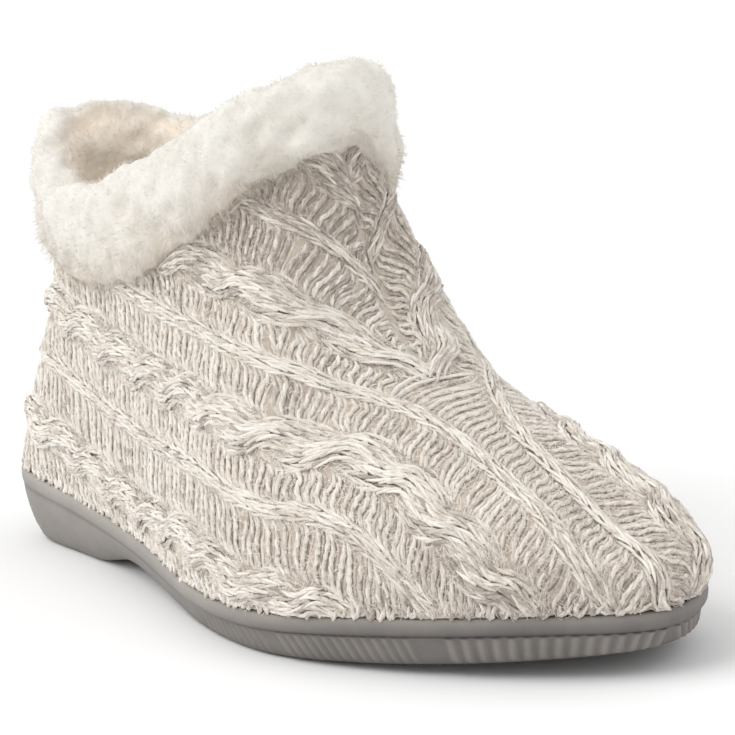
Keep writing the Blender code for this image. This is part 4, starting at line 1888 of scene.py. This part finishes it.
    def build(self) -> None:
        """Make the knit and dress it."""
        origin = self.last.origin
        inner = self.ground_sunk + self.ground_thick
        ground = self.shell("knit_ground", self.ground_sunk, inner, 0.0, self.ground_rows)
        ground.place(origin, self.ground.material(), "marled_knit", "upper")
        depths = (inner + self.lining_gap, self.last.wall_thickness - GAP)
        lining = self.shell("fleece_lining", *depths, self.lining_pile, self.lining_rows)
        lining.place(origin, self.lining.material(), "cream_fleece")
        yarn = self.yarn.material()
        work_of = {"purl": self.ladders, "rib": self.ribs, "cable": self.cables, "hem": self.hem}
        for side in Side:
            for label, work in work_of.items():
                strands = Strands()
                work(side, strands)
                strands.piece(f"knit_{label}_{side.name.lower()}").place(origin, yarn, "marled_knit")
            self.fuzz(side).place(origin, yarn, "marled_knit")


@dataclass(frozen=True)
class PileFibre:
    """Short curly fibre of the fleece, longer where it hangs over the knit."""

    count: int = 30000
    length: tuple[float, float] = (1.0, 2.4)
    width: float = 0.06
    root_spread: float = 0.25
    sweep_size: float = 9.0
    sweep_seeds: Sequence[int] = (41, 42, 43)
    sweep: float = 0.55
    sweep_spread: float = 0.45
    bow: float = 0.45
    lie: float = 0.9
    lie_bend: float = 1.4
    curl: float = 0.5
    longer: float = 0.8
    droop: float = 0.6
    droop_bend: float = 1.5
    tip_tone: float = 0.12
    tone_spread: float = 0.04


@dataclass
class FleeceCollar:
    """Fleece cuff on the knit's top edge: a soft lumpy roll covered in short pile."""

    last: Last
    finish: FleeceFinish
    half: float = 8.0
    out: float = -1.4
    front: float = 2.6
    front_stations: int = 2
    flare: float = 1.0
    front_flare: float = -0.4
    lean: float = 0.16
    tongue: float = 16.0
    tongue_side: tuple[float, float] = (0.2, -0.8)
    inner_side: tuple[float, float] = (0.1, -0.8)
    power: float = 2.6
    steps: int = 420
    sides: int = 72
    soft_lumps: LumpRows = ((17.0, 31, 0.9), (8.0, 32, 0.45))
    curl_lumps: LumpRows = ((5.0, 33, 1.0),)
    curl: float = 0.25
    fine_lumps: LumpRows = ((2.4, 34, 0.08),)
    sunk: float = 0.6
    low: tuple[float, float] = (0.6, 0.0)
    tone: float = 0.78
    # Painted light and shade: the tone follows the lumps, paler where the roll bulges and lower in its
    # hollows.
    soft_painted_shade: float = 0.08
    curl_painted_shade: float = 0.15
    # Painted light in the hole: the roll's inner side takes the warm pale colour at the low end of the
    # tone, a painted warm shade tint.
    inner_painted_light: float = 0.6
    # Painted shade along the roll's lower edge, where it meets the knit.
    low_painted_shade: float = 0.4
    fill: float = 0.6
    fibre: PileFibre = PileFibre()
    rng: np.random.Generator = field(init=False)

    def __post_init__(self) -> None:
        """Seed the pile."""
        self.rng = np.random.default_rng(5)

    def skin(self) -> tuple[Array, Array, Array]:
        """Surface of the roll before its lumps.

        Returns:
            Points and outward directions, by step round the collar and side round the roll, and the
            share by which each side faces the foot.
        """
        throat = self.last.throat_station
        e = np.linspace(0, 2 * throat, self.steps, endpoint=False)
        edge = self.last.collar_edge(e)
        along = unit((self.last.collar_edge(e + TINY_STEP) - self.last.collar_edge(e - TINY_STEP))[:, :2])
        outward = np.column_stack([along[:, 1], -along[:, 0], np.zeros(len(e))])
        front = smooth_step(throat - self.front_stations, throat, np.minimum(e, 2 * throat - e))[:, None]
        angle = np.linspace(0, 2 * np.pi, self.sides, endpoint=False)
        wide, tall = (np.sign(c) * np.abs(c) ** (2 / self.power) for c in (np.cos(angle), np.sin(angle)))
        lift = GAP + edge[:, 3:4] / 2 * (1 + tall)
        flare = self.flare + (self.front_flare - self.flare) * front
        out = self.out + self.front * front + flare * tall + self.half * wide
        points = edge[:, None, :3] + outward[:, None] * out[..., None]
        points[..., 0] -= self.lean * front * lift
        points[..., 2] += lift
        points[..., 2] -= self.tongue * front**2 * smooth_step(*self.tongue_side, wide) * (1 - tall) / 2
        ahead = np.roll(points, -1, axis=0) - np.roll(points, 1, axis=0)
        beside = np.roll(points, -1, axis=1) - np.roll(points, 1, axis=1)
        return points, unit(np.cross(ahead, beside)), smooth_step(*self.inner_side, wide)

    def up_share(self, points: Array) -> Array:
        """Share of the roll's height at which each point lies, from 0 at the knit."""
        foot = points[..., 2].min(axis=1, keepdims=True)
        return (points[..., 2] - foot) / (points[..., 2].max(axis=1, keepdims=True) - foot)

    def pile(self, points: Array, facing: Array, shade: Array, low: Array) -> Piece:
        """Short curly fibres over the roll.

        Args:
            points: Points of the roll.
            facing: Outward directions.
            shade: Tones of the roll.
            low: Share by which each point lies at the roll's lower edge.

        Returns:
            One joined mesh of the fibres.
        """
        fibre, rng = self.fibre, self.rng
        count = fibre.count
        ahead = np.linalg.norm(np.roll(points, -1, axis=0) - points, axis=2)
        beside = np.linalg.norm(np.roll(points, -1, axis=1) - points, axis=2)
        area = (ahead * beside).ravel()
        chosen = rng.choice(len(area), count, p=area / area.sum())
        root = points.reshape(-1, 3)[chosen] + rng.normal(0, fibre.root_spread, (count, 3))
        normal = facing.reshape(-1, 3)[chosen]
        sweep = np.stack([lumps(root, fibre.sweep_size, seed) for seed in fibre.sweep_seeds], axis=1)
        sweep = sweep * fibre.sweep + rng.normal(0, fibre.sweep_spread, (count, 3))
        sweep -= normal * np.sum(sweep * normal, axis=1)[:, None]
        curl = np.cross(normal, unit(sweep))
        hang = low.ravel()[chosen, None, None]
        length = rng.uniform(*fibre.length, count)[:, None, None] * (1 + fibre.longer * hang)
        f = np.linspace(0, 1, HAIR_STEPS)[None, :, None]
        turn = rng.uniform(-1, 1, (count, 1, 1))
        run = normal[:, None] * (f - fibre.bow * f**2)
        run = run + sweep[:, None] * fibre.lie * f**fibre.lie_bend
        run = run + curl[:, None] * turn * fibre.curl * f**2
        path = root[:, None] + length * run
        path[..., 2] -= (fibre.droop * length * hang * f**fibre.droop_bend)[..., 0]
        tone = shade.ravel()[chosen, None] + fibre.tip_tone * f[..., 0]
        tone = tone + rng.normal(0, fibre.tone_spread, (count, 1))
        return ribbons("fleece_pile", path, normal, fibre.width, tone)

    def build(self) -> None:
        """Make the roll and its pile and dress them."""
        points, facing, inside = self.skin()
        soft = lump_sum(points, self.soft_lumps)
        curl = self.curl * (1 - np.abs(lump_sum(points, self.curl_lumps)))
        curl = curl + lump_sum(points, self.fine_lumps)
        points = points + facing * (soft + curl - self.sunk)[..., None]
        low = smooth_step(*self.low, self.up_share(points))
        # Painted light and shade in the roll's tone: lumps, inner side and lower edge.
        tone = self.tone + self.soft_painted_shade * soft + self.curl_painted_shade * curl
        tone = np.clip(tone - self.inner_painted_light * inside - self.low_painted_shade * low, 0, 1)
        faces = ring_faces(self.steps, self.sides, True)
        material = self.finish.material()
        roll = Piece("fleece_roll", points.reshape(-1, 3), [faces], tone.reshape(-1))
        obj = roll.place(self.last.origin, material, "cream_fleece", "collar")
        self.pile(points, facing, tone, low).place(self.last.origin, material, "cream_fleece")


@dataclass
class Studio:
    """Pale floor, soft light and the camera at the photograph's angle."""

    last: Last
    azimuth: float = 51.2
    elevation: float = 10.4
    roll: float = -3.1
    distance: float = 700.0
    target: Row = (99.0, 39.9, 52.2)
    focal_pixels: float = 2389.1
    image_pixels: float = 735.0
    sensor: float = 36.0
    floor_half: float = 20.0
    sky: float = 0.84
    key_strength: float = 1.4
    key_from: tuple[float, float] = (-22.0, 47.0)
    fill_strength: float = 0.2
    fill_from: tuple[float, float] = (120.0, 40.0)
    spread: float = 45.0

    def facing(self, azimuth: float, elevation: float) -> Array:
        """Axes of a thing that looks at the shoe from a place round it.

        Args:
            azimuth: Turn of the place round the shoe.
            elevation: Angle of the place above the floor.

        Returns:
            Its right, up and backward directions.
        """
        a, e = math.radians(azimuth), math.radians(elevation)
        back = np.array([math.sin(a) * math.cos(e), -math.cos(a) * math.cos(e), math.sin(e)])
        right = unit(np.cross([0.0, 0.0, 1.0], back))
        return np.stack([right, np.cross(back, right), back])

    def add(self, name: str, data: bpy.types.ID, axes: Array, place: Array) -> bpy.types.Object:
        """Put a camera or a light in the scene.

        Args:
            name: Name of the object.
            data: Camera or light.
            axes: Its right, up and backward directions.
            place: Where it stands.

        Returns:
            The new object.
        """
        matrix = Matrix.Identity(4)
        for k, axis in enumerate(axes):
            matrix.col[k].xyz = axis
        matrix.translation = place
        obj = bpy.data.objects.new(name, data)
        obj.matrix_world = matrix
        bpy.context.scene.collection.objects.link(obj)
        return obj

    def camera(self) -> None:
        """Place the camera."""
        right, up, back = self.facing(self.azimuth, self.elevation)
        c, s = math.cos(math.radians(self.roll)), math.sin(math.radians(self.roll))
        axes = np.stack([c * right + s * up, c * up - s * right, back])
        lens = bpy.data.cameras.new("camera")
        lens.sensor_width = self.sensor
        lens.lens = self.focal_pixels * self.sensor / self.image_pixels
        place = (np.asarray(self.target) + back * self.distance - self.last.origin) * MM
        bpy.context.scene.camera = self.add("camera", lens, axes, place)

    def light(self, name: str, place: tuple[float, float], strength: float) -> None:
        """Soft light from far off.

        Args:
            name: Name of the light.
            place: Azimuth and elevation that it comes from.
            strength: Strength of the light.
        """
        lamp = bpy.data.lights.new(name, "SUN")
        lamp.energy = strength
        lamp.angle = math.radians(self.spread)
        self.add(name, lamp, self.facing(*place), np.zeros(3))

    def build(self) -> None:
        """Make the floor, the light and the camera."""
        half = self.floor_half
        corners = [(-half, -half, 0), (half, -half, 0), (half, half, 0), (-half, half, 0)]
        mesh = bpy.data.meshes.new("floor")
        mesh.from_pydata(corners, [], [(0, 1, 2, 3)])
        mesh.materials.append(FloorFinish().material())
        floor = bpy.data.objects.new("floor", mesh)
        bpy.context.scene.collection.objects.link(floor)
        world = bpy.data.worlds.new("studio")
        world.use_nodes = True
        background = world.node_tree.nodes["Background"]
        background.inputs["Color"].default_value = (1.0, 1.0, 1.0, 1.0)
        background.inputs["Strength"].default_value = self.sky
        bpy.context.scene.world = world
        bpy.context.scene.view_settings.view_transform = "Standard"
        self.light("key", self.key_from, self.key_strength)
        self.light("fill", self.fill_from, self.fill_strength)
        self.camera()


CREAM_YARN = YarnFinish(
    "marled_yarn",
    (srgb(172, 160, 150), srgb(209, 199, 188), srgb(239, 230, 218), srgb(251, 245, 236)),
)
# The ground sheet under the strands is lower in tone than the yarn: partly the yarn's taupe, partly painted
# shade between the stitches.
GROUND_YARN = YarnFinish(
    "knit_ground",
    (srgb(180, 165, 149), srgb(194, 180, 165), srgb(206, 193, 179), srgb(218, 207, 194)),
)
# First colour, warm and pale: painted light and warm shade tint inside the collar; the middle colour shows
# the painted shade of the lower edge.
CREAM_FLEECE = FleeceFinish(
    "cream_fleece", (srgb(248, 236, 220), srgb(217, 210, 200), srgb(232, 229, 222))
)
BEIGE_FLEECE = FleeceFinish(
    "beige_lining", (srgb(232, 216, 198), srgb(242, 229, 213), srgb(249, 239, 227))
)
GREY_RUBBER = RubberFinish(
    "sole_rubber", (srgb(84, 80, 79), srgb(134, 129, 124), srgb(166, 161, 155))
)


def main() -> None:
    """Build the slipper's pieces in order, then the studio."""
    logging.basicConfig(level=logging.INFO, format="%(message)s")
    last = Last()
    Studio(last).build()
    Outsole(last, GREY_RUBBER).build()
    Footbed(last, BEIGE_FLEECE).build()
    KnitUpper(last, CREAM_YARN, GROUND_YARN, BEIGE_FLEECE).build()
    FleeceCollar(last, CREAM_FLEECE).build()


if __name__ == "__main__":
    main()
